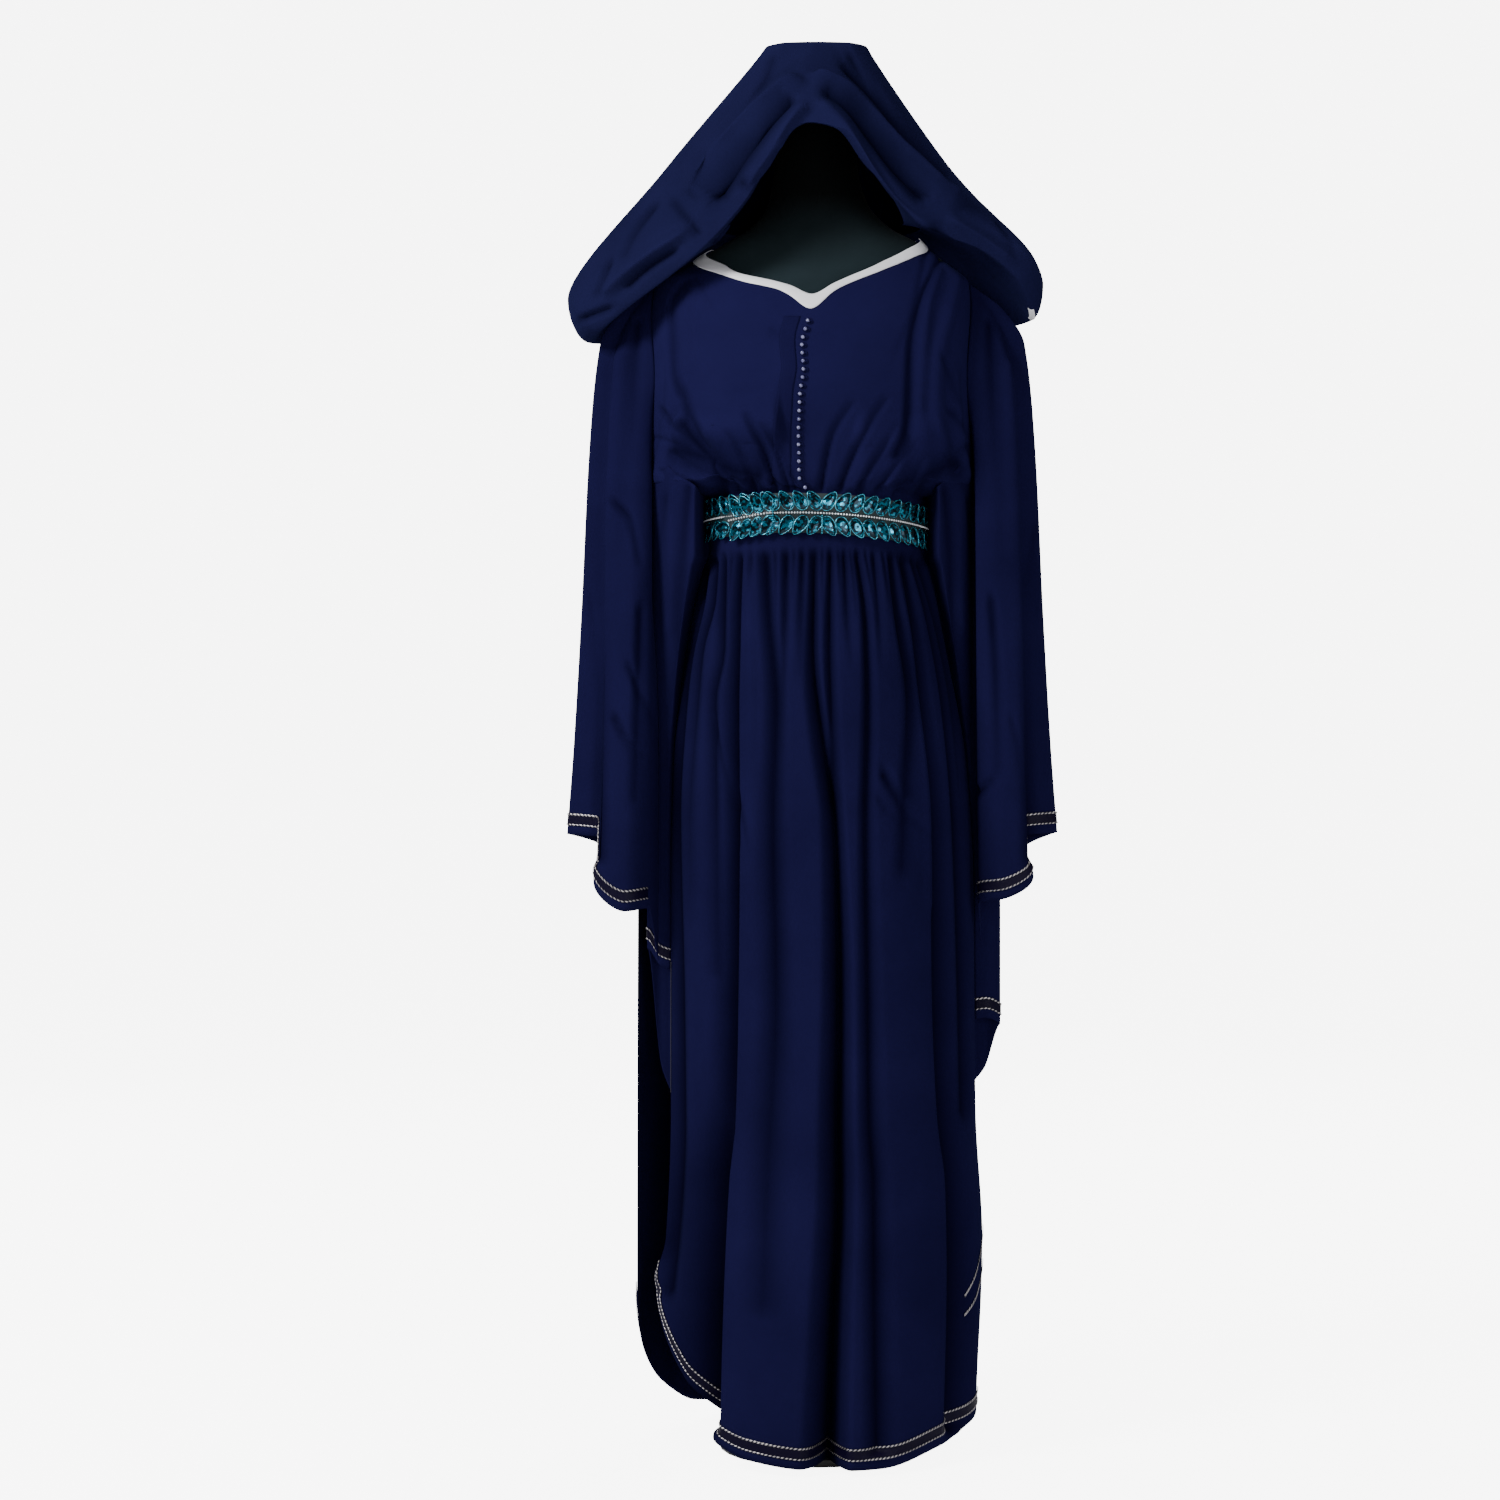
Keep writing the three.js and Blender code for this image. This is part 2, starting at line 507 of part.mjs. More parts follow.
function hood(turn, v) {
  const angle = (turn * Math.PI) / 180;
  const s = Math.sin(angle);
  const c = Math.cos(angle);
  const reach = ([front, back]) => -c * (c > 0 ? front : back);
  const get = (key) => along(HOOD, "turn", key, turn);
  const neck = ease(30, 56, Math.abs(turn));
  const square = Math.min(1 / Math.max(Math.abs(s), 0.01), 1 / Math.max(Math.abs(c), 0.01));
  const corner = mix(1, Math.min(square, 1.2), 0.6);
  const cap = vec(62 * s * corner, -56 * c * corner, HOOD_TOP);
  const beam = vec(get("beamX"), reach(HOOD_REACH.beam), get("beamZ"));
  const fold = vec(get("foldX"), reach(HOOD_REACH.fold), get("foldZ"));
  const seam = vec(124 * s, c > 0 ? -50 * c : -72 * c, NECK_SEAM);
  const tuckX = fold.x * 0.97;
  const under = vec(mix(tuckX, mix(fold.x, seam.x, 0.45), neck),
    mix(fold.y + 14, mix(fold.y, seam.y, 0.3), neck),
    mix(fold.z + 2, mix(fold.z, seam.z, 0.62), neck));
  const end = vec(mix(fold.x * 0.9, seam.x, neck), mix(fold.y + 30, seam.y, neck),
    mix(fold.z + 16, seam.z, neck));
  const profile = [
    { at: 0, ...cap.clone().multiply(vec(0.3, 0.3, 1)) },
    { at: 1, ...cap },
    { at: 1.08, ...cap.clone().lerp(beam, 0.06) },
    { at: 2, ...beam },
    { at: 3, x: get("bagX"), y: reach(HOOD_REACH.bag), z: get("bagZ") },
    { at: 3.7, ...fold },
    { at: 4.3, ...under },
    { at: 5, ...end },
  ];
  const key = (name) => along(profile, "at", name, v);
  return vec(key("x"), key("y"), key("z"));
}

function closedHood() {
  const turns = [-180, -160, -140, -122, -106, -90, -78, -66, -55, -45, -36, -27, -20, -14, -9,
    -4.5, 0, 4.5, 9, 14, 20, 27, 36, 45, 55, 66, 78, 90, 106, 122, 140, 160];
  const rows = [0, 0.95, 1.02, 1.25, 1.6, 2, 2.35, 2.7, 3, 3.35, 3.7, 4, 4.5, 5];
  const { p, n } = grid(turns, rows, hood, true);
  const points = [];
  for (const offset of [WALL / 2, -WALL / 2])
    p.forEach((line, i) =>
      line.forEach((q, j) => {
        const up = j === 0 ? vec(0, 0, -1) : n[i][j];
        points.push(q.clone().addScaledVector(up, offset));
      }),
    );
  const half = turns.length * rows.length;
  const id = (i, j, side) => side * half + (i % turns.length) * rows.length + j;
  const low = points.push(vec(0, 0, HOOD_TOP - WALL / 2)) - 1;
  const high = points.push(vec(0, 0, HOOD_TOP + WALL / 2)) - 1;
  const faces = [];
  turns.forEach((_, i) => {
    for (let j = 0; j < rows.length - 1; j += 1)
      for (const side of [0, 1]) {
        const q = [id(i, j, side), id(i + 1, j, side), id(i + 1, j + 1, side), id(i, j + 1, side)];
        const cut = [[q[0], q[1], q[2]], [q[0], q[2], q[3]]];
        faces.push(...cut.map((f) => (side ? [f[0], f[2], f[1]] : f)));
      }
    const last = rows.length - 1;
    faces.push([id(i, last, 0), id(i + 1, last, 0), id(i + 1, last, 1)]);
    faces.push([id(i, last, 0), id(i + 1, last, 1), id(i, last, 1)]);
    faces.push([low, id(i + 1, 0, 0), id(i, 0, 0)], [high, id(i, 0, 1), id(i + 1, 0, 1)]);
  });
  addMesh("hood", points, faces, NAVY);
}
closedHood();

// ---- belt, a closed band with two rows of slanting stones raised on its outer face

function beltRing(turn, out, z) {
  const x = (129 + out) * Math.sin(turn);
  const y = -(99 + out) * Math.cos(turn) - (Math.cos(turn) < 0 ? -4 * Math.cos(turn) : 0);
  return vec(x, y, z - 5 * (x / 130) ** 2);
}
function belt() {
  const columns = STONES * 3;
  const rows = [-1, -0.6, -0.14, 0.14, 0.6, 1];
  const rise = (i, row) => {
    const lean = row > 0 ? 0.5 : -0.5;
    const phase = Math.abs(((i / 3 + lean * Math.abs(row) + 100) % 1) - 0.5) * 2;
    const across = ridge(Math.abs(row), 0.58, 0.5);
    return STONE_RISE * Math.min(1, 1.6 * across) * ease(0.05, 0.6, phase);
  };
  const points = [];
  for (let i = 0; i < columns; i += 1) {
    const turn = (2 * Math.PI * i) / columns;
    for (const row of rows)
      points.push(beltRing(turn, BELT_BASE + rise(i, row), WAIST + (row * BELT_HIGH) / 2));
    for (const row of [-1, 1]) points.push(beltRing(turn, 0, WAIST + (row * BELT_HIGH) / 2));
  }
  const size = rows.length + 2;
  const faces = [];
  for (let i = 0; i < columns; i += 1) {
    const a = i * size;
    const b = ((i + 1) % columns) * size;
    const loop = [...rows.keys(), size - 1, size - 2];
    loop.forEach((from, k) => {
      const to = loop[(k + 1) % loop.length];
      faces.push([a + from, b + from, b + to], [a + from, b + to, a + to]);
    });
  }
  addMesh("belt", points, faces, "#1f5a6b");
}
belt();

// The free end of the belt, a pointed tab laid over the band at the left.
const TAB = { from: -0.98, to: -0.36, high: 20, out: BELT_BASE + STONE_RISE + 0.9, lift: 0.12 };
wall("belt_end", steps(0, 1, 8), [-1, 0, 1], (u, v) => {
  const turn = mix(TAB.from, TAB.to, u);
  const tall = TAB.high * Math.min(1, 0.25 + 2.6 * u) * 0.5;
  return beltRing(turn, TAB.out, WAIST - 16 + 14 * u + v * tall);
}, "#1f5a6b");

// ---- dress form on a pole and a round base

const TORSO = [
  { z: 905, middle: 0, wide: 128, front: 96, back: 96 },
  { z: 960, middle: 0, wide: 128, front: 98, back: 100 },
  { z: 1020, middle: 0, wide: 121, front: 92, back: 90 },
  { z: WAIST, middle: 0, wide: 117, front: 86, back: 81 },
  { z: 1150, middle: 0, wide: 124, front: 97, back: 87 },
  { z: 1240, middle: 0, wide: 142, front: 112, back: 93 },
  { z: 1310, middle: 0, wide: 156, front: 100, back: 95 },
  { z: 1360, middle: -5, wide: 165, front: 84, back: 86 },
  { z: SHOULDER, middle: -4, wide: 166, front: 70, back: 73 },
  { z: 1400, middle: 2, wide: 155, front: 60, back: 64 },
  { z: 1428, middle: 7, wide: 115.6, front: 52, back: 54 },
  { z: 1446, middle: 5, wide: 84, front: 48, back: 48 },
  { z: 1475, middle: 2, wide: 60, front: 46, back: 46 },
  { z: 1520, middle: 0, wide: 50, front: 44, back: 44 },
  { z: 1630, middle: 0, wide: 48, front: 44, back: 44 },
  { z: 1634, middle: 0, wide: 60, front: 54, back: 54 },
  { z: CAP_TOP, middle: 0, wide: 60, front: 54, back: 54 },
];
const oval = ({ z, middle, wide, front, back }, sides) =>
  steps(0, 2 * Math.PI, sides).slice(0, -1).map((t) =>
    vec(middle + wide * Math.cos(t), (Math.sin(t) < 0 ? front : back) * Math.sin(t), z));
const disc = (z, r, sides) => oval({ z, middle: 0, wide: r, front: r, back: r }, sides);
stack("form_torso", TORSO.map((row) => oval(row, 20)), FORM);

const POLE_RADIUS = 14;
const BASE_HIGH = 10;
const BASE_BEVEL = 2;
stack("form_pole", [BASE_HIGH + 0.3, TORSO[0].z - 0.3].map((z) => disc(z, POLE_RADIUS, 16)), METAL);
stack("form_base", [
  disc(0, BASE_RADIUS, 28),
  disc(BASE_HIGH - BASE_BEVEL, BASE_RADIUS, 28),
  disc(BASE_HIGH, BASE_RADIUS - BASE_BEVEL, 28),
], METAL);

export default group;
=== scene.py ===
import bpy
import numpy as np
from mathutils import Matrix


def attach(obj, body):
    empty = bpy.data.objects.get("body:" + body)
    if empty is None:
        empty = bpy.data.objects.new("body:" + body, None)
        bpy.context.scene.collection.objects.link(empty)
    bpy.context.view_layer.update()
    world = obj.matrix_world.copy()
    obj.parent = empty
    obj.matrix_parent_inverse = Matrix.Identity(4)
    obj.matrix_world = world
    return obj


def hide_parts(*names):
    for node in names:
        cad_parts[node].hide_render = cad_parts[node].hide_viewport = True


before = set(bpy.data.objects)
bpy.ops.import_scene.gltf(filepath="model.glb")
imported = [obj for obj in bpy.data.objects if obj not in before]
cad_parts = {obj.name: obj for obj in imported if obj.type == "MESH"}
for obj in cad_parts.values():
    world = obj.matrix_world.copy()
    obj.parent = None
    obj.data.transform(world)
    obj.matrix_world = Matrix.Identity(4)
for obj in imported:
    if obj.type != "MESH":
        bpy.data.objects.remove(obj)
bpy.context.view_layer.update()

# Camera. The photograph was taken level, 3.5 m in front of the dress form and a little to the left of its middle,
# at half its height, with a long lens, so the garment fills a square frame from the hood to the hem.
EYE = (-0.0785, -3.5, 0.826)
LENS = 70.6
camera_data = bpy.data.cameras.new("camera")
camera_data.lens = LENS
camera_data.sensor_width = 36
camera = bpy.data.objects.new("camera", camera_data)
camera.location = EYE
camera.rotation_euler = (np.pi / 2, 0, 0)
bpy.context.scene.collection.objects.link(camera)
bpy.context.scene.camera = camera

# Front bodice panel. Navy crepe cut with a curved, pointed neck and deep armholes, sewn at the shoulders and sides
# and gathered into the waist; its fullness shows as gathers that fan up from the belt and long folds at the right.
# Sizes are in millimetres, as in the solids' source: x right, y away from the front, z up from the floor.
WAIST = 1093
SEAM = 0.35
RIM = SEAM + 0.6
UNDERARM = 1142
SHOULDER = 1381
CLOTH = 0.8


def through(xs, ys, t):
    """The smooth curve through ys at xs, without overshoot: its lean at each of them is the harmonic mean of the
    slopes on both sides, or level at a turning point, and each span between is a cubic. ys are numbers, or one grid
    of points for each of xs, where t is a grid too."""
    gap = np.diff(xs)
    slope = np.diff(ys, axis=0) / gap.reshape(-1, *[1] * (ys.ndim - 1))
    pair = slope[:-1] * slope[1:]
    total = np.where(pair > 0, slope[:-1] + slope[1:], 1)
    lean = np.concatenate([slope[:1], np.where(pair > 0, 2 * pair / total, 0), slope[-1:]])
    t = np.clip(t, xs[0], xs[-1])
    i = np.clip(np.searchsorted(xs, t, side="right") - 1, 0, len(gap) - 1)
    s = (t - xs[i]) / gap[i]
    a, first, last = s * s * (3 - 2 * s), gap[i] * s * (1 - s) ** 2, gap[i] * s * s * (s - 1)
    if ys.ndim == 1:
        return ys[i] * (1 - a) + ys[i + 1] * a + first * lean[i] + last * lean[i + 1]
    a, first, last = a[..., None], first[..., None], last[..., None]
    y0, y1, lean0, lean1 = (np.take_along_axis(block, (i + k)[None, ..., None], 0)[0]
                            for block, k in ((ys, 0), (ys, 1), (lean, 0), (lean, 1)))
    return y0 * (1 - a) + y1 * a + first * lean0 + last * lean1


class Table(dict):
    """Rows of numbers under named columns, as one array for each name. Called with a column's name, it gives the
    smooth curve through that column at values t of the first one."""

    def __init__(self, names, *rows):
        super().__init__(zip(names.split(), np.array(rows, float).T))

    def __call__(self, name, t):
        return through(next(iter(self.values())), self[name], t)


def ease(a, b, t):
    """Goes smoothly from 0 at a to 1 at b, level at both."""
    s = np.clip((np.asarray(t, float) - a) / (b - a), 0, 1)
    return s * s * (3 - 2 * s)


def ridge(t, middle, wide):
    """A rounded ridge: a raised cosine, one at its middle and nothing a width away."""
    return (1 + np.cos(np.pi * np.clip(np.abs(t - middle) / wide, 0, 1))) / 2


def folded(folds, a, z):
    """The main folds of a panel, in mm out: each is a ridge that leans from its low to its high share across the
    panel, swells quickly above its foot and dies away toward its head."""
    rise = np.zeros(np.broadcast(a, z).shape)
    for low, high, foot, head, tall, wide in folds:
        t = np.clip((z - foot) / (head - foot), 0, 1)
        swell = np.minimum(1, 6 * t) * np.cos(np.pi / 2 * t**3)
        rise = rise + tall * swell * ridge(a, low + (high - low) * t, wide)
    return rise


PINCH, FULL_DARK = 0.6, 8


def creased(creases, points, hand=1, crest=0, dark=None):
    """The small creases, in mm out: each follows a smooth path of x, z places as seen from the front, mirrored where
    hand is -1. Its height and half width go evenly from the path's start to its end, but both ends taper off. A
    ridge's cross section is a raised cosine. A trough's is mostly a parabola that comes to a sharp line at its
    bottom, as pinched cloth does, and crest gives ridges the same part of it. A lean above 0 widens the crease to
    the right of its path and narrows it to the left. An array given as dark gets how deep each point lies in a
    trough, from 0 to 1 at the bottom of one that is FULL_DARK mm deep or more."""
    x, z = hand * points[..., 0], points[..., 2]
    out = np.zeros(x.shape)
    for first, last, wide_first, wide_last, lean, path in creases:
        p = np.array(path, float).reshape(-1, 2)
        way = np.concatenate([[0], np.cumsum(np.hypot(*np.diff(p, axis=0).T))])
        share = np.linspace(0, 1, 6 * (len(p) - 1) + 1)
        line = np.stack([through(way / way[-1], column, share) for column in p.T], -1)
        reach = 1.8 * max(wide_first, wide_last)
        lo, hi = line.min(0) - reach, line.max(0) + reach
        inside = (x > lo[0]) & (x < hi[0]) & (z > lo[1]) & (z < hi[1])
        px, pz = x[inside], z[inside]
        near, place, side = np.full(px.shape, 1e9), np.zeros(px.shape), np.ones(px.shape)
        for k in range(len(line) - 1):
            leg = line[k + 1] - line[k]
            dx, dz = px - line[k, 0], pz - line[k, 1]
            s = np.clip((dx * leg[0] + dz * leg[1]) / (leg @ leg), 0, 1)
            far = np.hypot(dx - s * leg[0], dz - s * leg[1])
            closer = far < near
            near = np.where(closer, far, near)
            place = np.where(closer, share[k] + s * (share[k + 1] - share[k]), place)
            right = np.sign((dx - s * leg[0]) * abs(leg[1]) + (dz - s * leg[1]) * abs(leg[0]) * 0.2)
            side = np.where(closer, right, side)
        wide = (wide_first + (wide_last - wide_first) * place) * (1 + lean * side)
        sharp = PINCH if first + last < 0 else crest
        shape = sharp * np.clip(1 - near / wide, 0, 1) ** 2 + (1 - sharp) * ridge(near, 0, wide)
        run = place * way[-1]
        tall = (first + (last - first) * place) * ease(-3, 12, run) * ease(-3, 10, way[-1] - run)
        out[inside] += tall * shape
        if dark is not None:
            bottom = np.clip(-tall / FULL_DARK, 0, 1) * np.clip(1 - near / wide, 0, 1) ** 1.5
            dark[inside] = np.maximum(dark[inside], bottom)
    return out


def alike(head, *paths):
    """Rows of a table of creases that differ only in their paths."""
    return [(*head, path) for path in paths]


def in_troughs(creases, p, hand=1):
    """How deep the points p lie in the troughs of a table, from 0 to 1."""
    dark = np.zeros(p.shape[:-1])
    creased(creases, p, hand, dark=dark)
    return dark


def facing(at, u, v, spans, step=2e-3):
    """The unit normals of a surface at(u, v): the cross product of its two directions, each taken between points a
    small step to either side, kept within the surface's spans."""
    (u0, u1), (v0, v1) = spans
    du, dv = step * (u1 - u0), step * (v1 - v0)
    across = at(np.minimum(u + du, u1), v) - at(np.maximum(u - du, u0), v)
    down = at(u, np.minimum(v + dv, v1)) - at(u, np.maximum(v - dv, v0))
    n = np.cross(across, down)
    return n / np.maximum(np.linalg.norm(n, axis=-1, keepdims=True), 1e-9)


def moved(at, spans, by):
    """A surface moved along its own normals by by(u, v, points), in mm."""

    def new(u, v):
        p = at(u, v)
        return p + facing(at, u, v, spans) * np.asarray(by(u, v, p))[..., None]

    return new


def spaced(*spans, after=()):
    """Values along spans that follow each other, each a start, an end and a count, and then some more."""
    parts = [np.linspace(*span)[min(k, 1):] for k, span in enumerate(spans)]
    return np.concatenate([*parts, after])


def shown(name, mesh, material):
    """The visible object of a mesh, on the one fixed body."""
    mesh.materials.append(material)
    obj = bpy.data.objects.new(name, mesh)
    bpy.context.scene.collection.objects.link(obj)
    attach(obj, "root")
    return obj


def surface(name, at, us, vs, material, thick=CLOTH, ring=False, dark=None):
    """A mesh object from the grid at(us, vs), in metres, with uv in metres along the cloth; thick, in mm, makes it a
    closed wall about the grid. The share dark(u, v) is kept on its points, for the cloth to take less light there."""
    u, v = np.meshgrid(np.asarray(us, float), np.asarray(vs, float), indexing="ij")
    p = at(u, v) / 1000
    count, rows = u.shape
    ids = np.arange(count * rows).reshape(count, rows)
    after = np.roll(ids, -1, axis=0) if ring else ids[1:]
    before = ids if ring else ids[:-1]
    quads = np.stack([before[:, :-1], after[:, :-1], after[:, 1:], before[:, 1:]], -1).reshape(-1, 4)
    mesh = bpy.data.meshes.new(name)
    mesh.from_pydata(p.reshape(-1, 3).tolist(), [], quads.tolist())
    mesh.polygons.foreach_set("use_smooth", np.full(len(quads), True))
    down = np.zeros(u.shape)
    down[:, 1:] = np.cumsum(np.linalg.norm(np.diff(p, axis=1), axis=-1), axis=1)
    wide = np.zeros(u.shape)
    wide[1:] = np.cumsum(np.linalg.norm(np.diff(p, axis=0), axis=-1).mean(1))[:, None]
    uv = np.stack([wide, down], -1).reshape(-1, 2)
    mesh.uv_layers.new(name="UVMap").data.foreach_set("uv", uv[quads].ravel())
    if dark is not None:
        mesh.attributes.new("dark", "FLOAT", "POINT").data.foreach_set("value", dark(u, v).ravel())
    obj = shown(name, mesh, material)
    if thick:
        wall = obj.modifiers.new("wall", "SOLIDIFY")
        wall.thickness = thick / 1000
        wall.offset = 0
        wall.use_even_offset = False
    return obj


def put(tree, socket, value):
    """Sets a socket, or links it where the value is another node's output."""
    if isinstance(value, bpy.types.NodeSocket):
        tree.links.new(value, socket)
    else:
        socket.default_value = value


def node(tree, kind, values=(), **settings):
    """A node with its settings and its inputs, by name or number."""
    made = tree.nodes.new(kind)
    for key, value in settings.items():
        setattr(made, key, value)
    for key, value in dict(values).items():
        put(tree, made.inputs[key], value)
    return made


def maths(tree, kind, *values):
    """The result of a math node."""
    return node(tree, "ShaderNodeMath", enumerate(values), operation=kind).outputs[0]


def scaled(tree, vector, by):
    """A vector or a colour times a number."""
    return node(tree, "ShaderNodeVectorMath", {0: vector, "Scale": by}, operation="SCALE").outputs[0]


def noise(tree, place, **values):
    """The share of a soft noise at a place."""
    return node(tree, "ShaderNodeTexNoise", {"Vector": place, **values}).outputs["Fac"]


def ramp(tree, share, *stops):
    """The colour at a share between two stops, each a place and a colour."""
    made = node(tree, "ShaderNodeValToRGB", {"Fac": share})
    for element, (place, colour) in zip(made.color_ramp.elements, stops):
        element.position, element.color = place, (*colour, 1)
    return made.outputs["Color"]


def ranged(tree, value, start, end, low, high):
    """A value's range, start to end, moved to low to high."""
    return node(tree, "ShaderNodeMapRange", {"Value": value, "From Min": start, "From Max": end, "To Min": low,
                                             "To Max": high}).outputs["Result"]


def feed(made, sockets):
    """Sets or links sockets of a material's Principled shader."""
    for key, value in sockets.items():
        put(made.node_tree, made.node_tree.nodes["Principled BSDF"].inputs[key], value)
    return made


def plain_material(name, colour, sockets):
    """A Principled material with constant values."""
    made = bpy.data.materials.new(name)
    made.use_nodes = True
    return feed(made, {"Base Color": (*colour, 1), **sockets})


def clouded(made, scale, low, high, roughness):
    """Breaks up a plain material: its colour goes between two shades, and its roughness between two values, by a
    soft noise in object coordinates."""
    tree = made.node_tree
    share = noise(tree, node(tree, "ShaderNodeTexCoord").outputs["Object"], Scale=scale, Detail=2.0)
    return feed(made, {"Base Color": ramp(tree, share, (0.38, low), (0.62, high)),
                       "Roughness": ranged(tree, share, 0.35, 0.65, *roughness)})


# How much painted shade darkens the bottom of a deep trough.
DARKEST = 0.7


def woven_group():
    """Woven cloth: a fine twill of two crossing waves along the uv, a grain that roughens it, and a slow change of
    tone over the piece; painted shade darkens it in its troughs, by the points' dark share. It gives the colour,
    the roughness and the normal."""
    g = bpy.data.node_groups.new("woven cloth", "ShaderNodeTree")
    for label, value in (("Colour", (0.01, 0.015, 0.05, 1)), ("Pitch", 1600.0), ("Grain", 0.5), ("Tone", 0.25),
                         ("Roughness", 0.65)):
        kind = "NodeSocketColor" if label == "Colour" else "NodeSocketFloat"
        g.interface.new_socket(label, in_out="INPUT", socket_type=kind).default_value = value
    for label, kind in (("Colour", "Color"), ("Roughness", "Float"), ("Normal", "Vector")):
        g.interface.new_socket(label, in_out="OUTPUT", socket_type="NodeSocket" + kind)
    given, place = g.nodes.new("NodeGroupInput").outputs, node(g, "ShaderNodeTexCoord").outputs
    wave = {"Vector": scaled(g, place["UV"], given["Pitch"]), "Scale": 1.0, "Distortion": 0.6, "Detail": 1.0}
    weft, warp = (node(g, "ShaderNodeTexWave", wave, bands_direction=way).outputs["Fac"] for way in ("X", "DIAGONAL"))
    rough = maths(g, "MULTIPLY", noise(g, place["Object"], Scale=900.0, Detail=3.0), given["Grain"])
    height = maths(g, "ADD", maths(g, "MULTIPLY", weft, warp), rough)
    slow = ranged(g, noise(g, place["Object"], Scale=7.0, Detail=3.0, Roughness=0.55), 0.3, 0.7, -1.0, 1.0)
    tone = maths(g, "MULTIPLY_ADD", slow, given["Tone"], 1.0)
    # Painted shade: the points' dark share, how deep they lie in a crease, darkens the colour here.
    trough = node(g, "ShaderNodeAttribute", attribute_name="dark").outputs["Fac"]
    lit = maths(g, "MULTIPLY", tone, maths(g, "MULTIPLY_ADD", trough, -DARKEST, 1.0))
    bump = node(g, "ShaderNodeBump", {"Strength": 0.35, "Distance": 0.00012, "Height": height})
    node(g, "NodeGroupOutput", {
        "Colour": scaled(g, given["Colour"], lit), "Normal": bump.outputs[0],
        "Roughness": maths(g, "MULTIPLY_ADD", rough, 0.15, given["Roughness"])})
    return g


WOVEN = woven_group()


def cloth_material(name, colour, sockets, **weave_values):
    """A material fed by the woven cloth group, with its constant values on its own sockets."""
    made = plain_material(name, colour, sockets)
    weave = node(made.node_tree, "ShaderNodeGroup", {"Colour": (*colour, 1), **weave_values}, node_tree=WOVEN).outputs
    return feed(made, {"Base Color": weave["Colour"], "Roughness": weave["Roughness"], "Normal": weave["Normal"]})


NAVY = (0.0069, 0.0060, 0.034)
CREPE_SOCKETS = {"Specular IOR Level": 0.0, "Sheen Weight": 0.012, "Sheen Roughness": 0.4,
                 "Sheen Tint": (0.25, 0.35, 0.9, 1)}
crepe = cloth_material("navy crepe", NAVY, CREPE_SOCKETS, Tone=0.14, Roughness=0.72)
# Painted light: the bodice takes a lighter copy of the same crepe, for the light that falls on the upper body.
BODICE_NAVY_PAINTED_LIGHT = (0.0087, 0.0077, 0.043)
bodice_crepe = cloth_material("bodice crepe", BODICE_NAVY_PAINTED_LIGHT, CREPE_SOCKETS, Tone=0.12, Roughness=0.72)

GATHERED = 1121
BODICE = Table("z middle wide front back",
    (WAIST, 0, 125, 94, 88), (1124, 0, 126, 96, 89), (1133, -4, 164, 101, 92), (UNDERARM, -7, 192, 105, 94),
    (1180, -7, 193, 114, 98), (1240, -7, 193, 121, 102), (1310, -7, 192, 112, 104), (1346, -6, 190, 101, 100),
    (SHOULDER, -4, 185, 84, 86), (1400, 2, 158, 70, 74), (1428, 7, 119, 58, 62), (1440, 9, 108, 54, 58))
NECKLINE = Table("across z",
    (0, 1420), (0.28, 1393), (0.355, 1379), (0.412, 1371), (0.453, 1364), (0.498, 1353), (0.543, 1367),
    (0.595, 1382), (0.672, 1400), (0.79, 1417), (1, 1434))
BINDING = Table("across high", (0, 9.5), (0.42, 9.5), (0.49, 18), (0.56, 9.5), (1, 9.5))
# Each row: low and high share across, foot and head heights, height of the fold and half its width as a share.
BODICE_FOLDS = [
    (0.12, 0.1, GATHERED, 1300, 5, 0.05), (0.22, 0.14, GATHERED, 1240, 4, 0.04),
    (0.31, 0.27, GATHERED, 1200, 4, 0.035),
    (0.39, 0.37, GATHERED, 1180, 3, 0.03), (0.59, 0.62, GATHERED, 1175, 3, 0.03), (0.66, 0.7, GATHERED, 1200, 4, 0.035),
    (0.74, 0.78, GATHERED, 1230, 4, 0.04), (0.8, 0.88, 1125, 1420, 6, 0.05), (0.9, 0.93, 1125, 1280, 5, 0.04)]
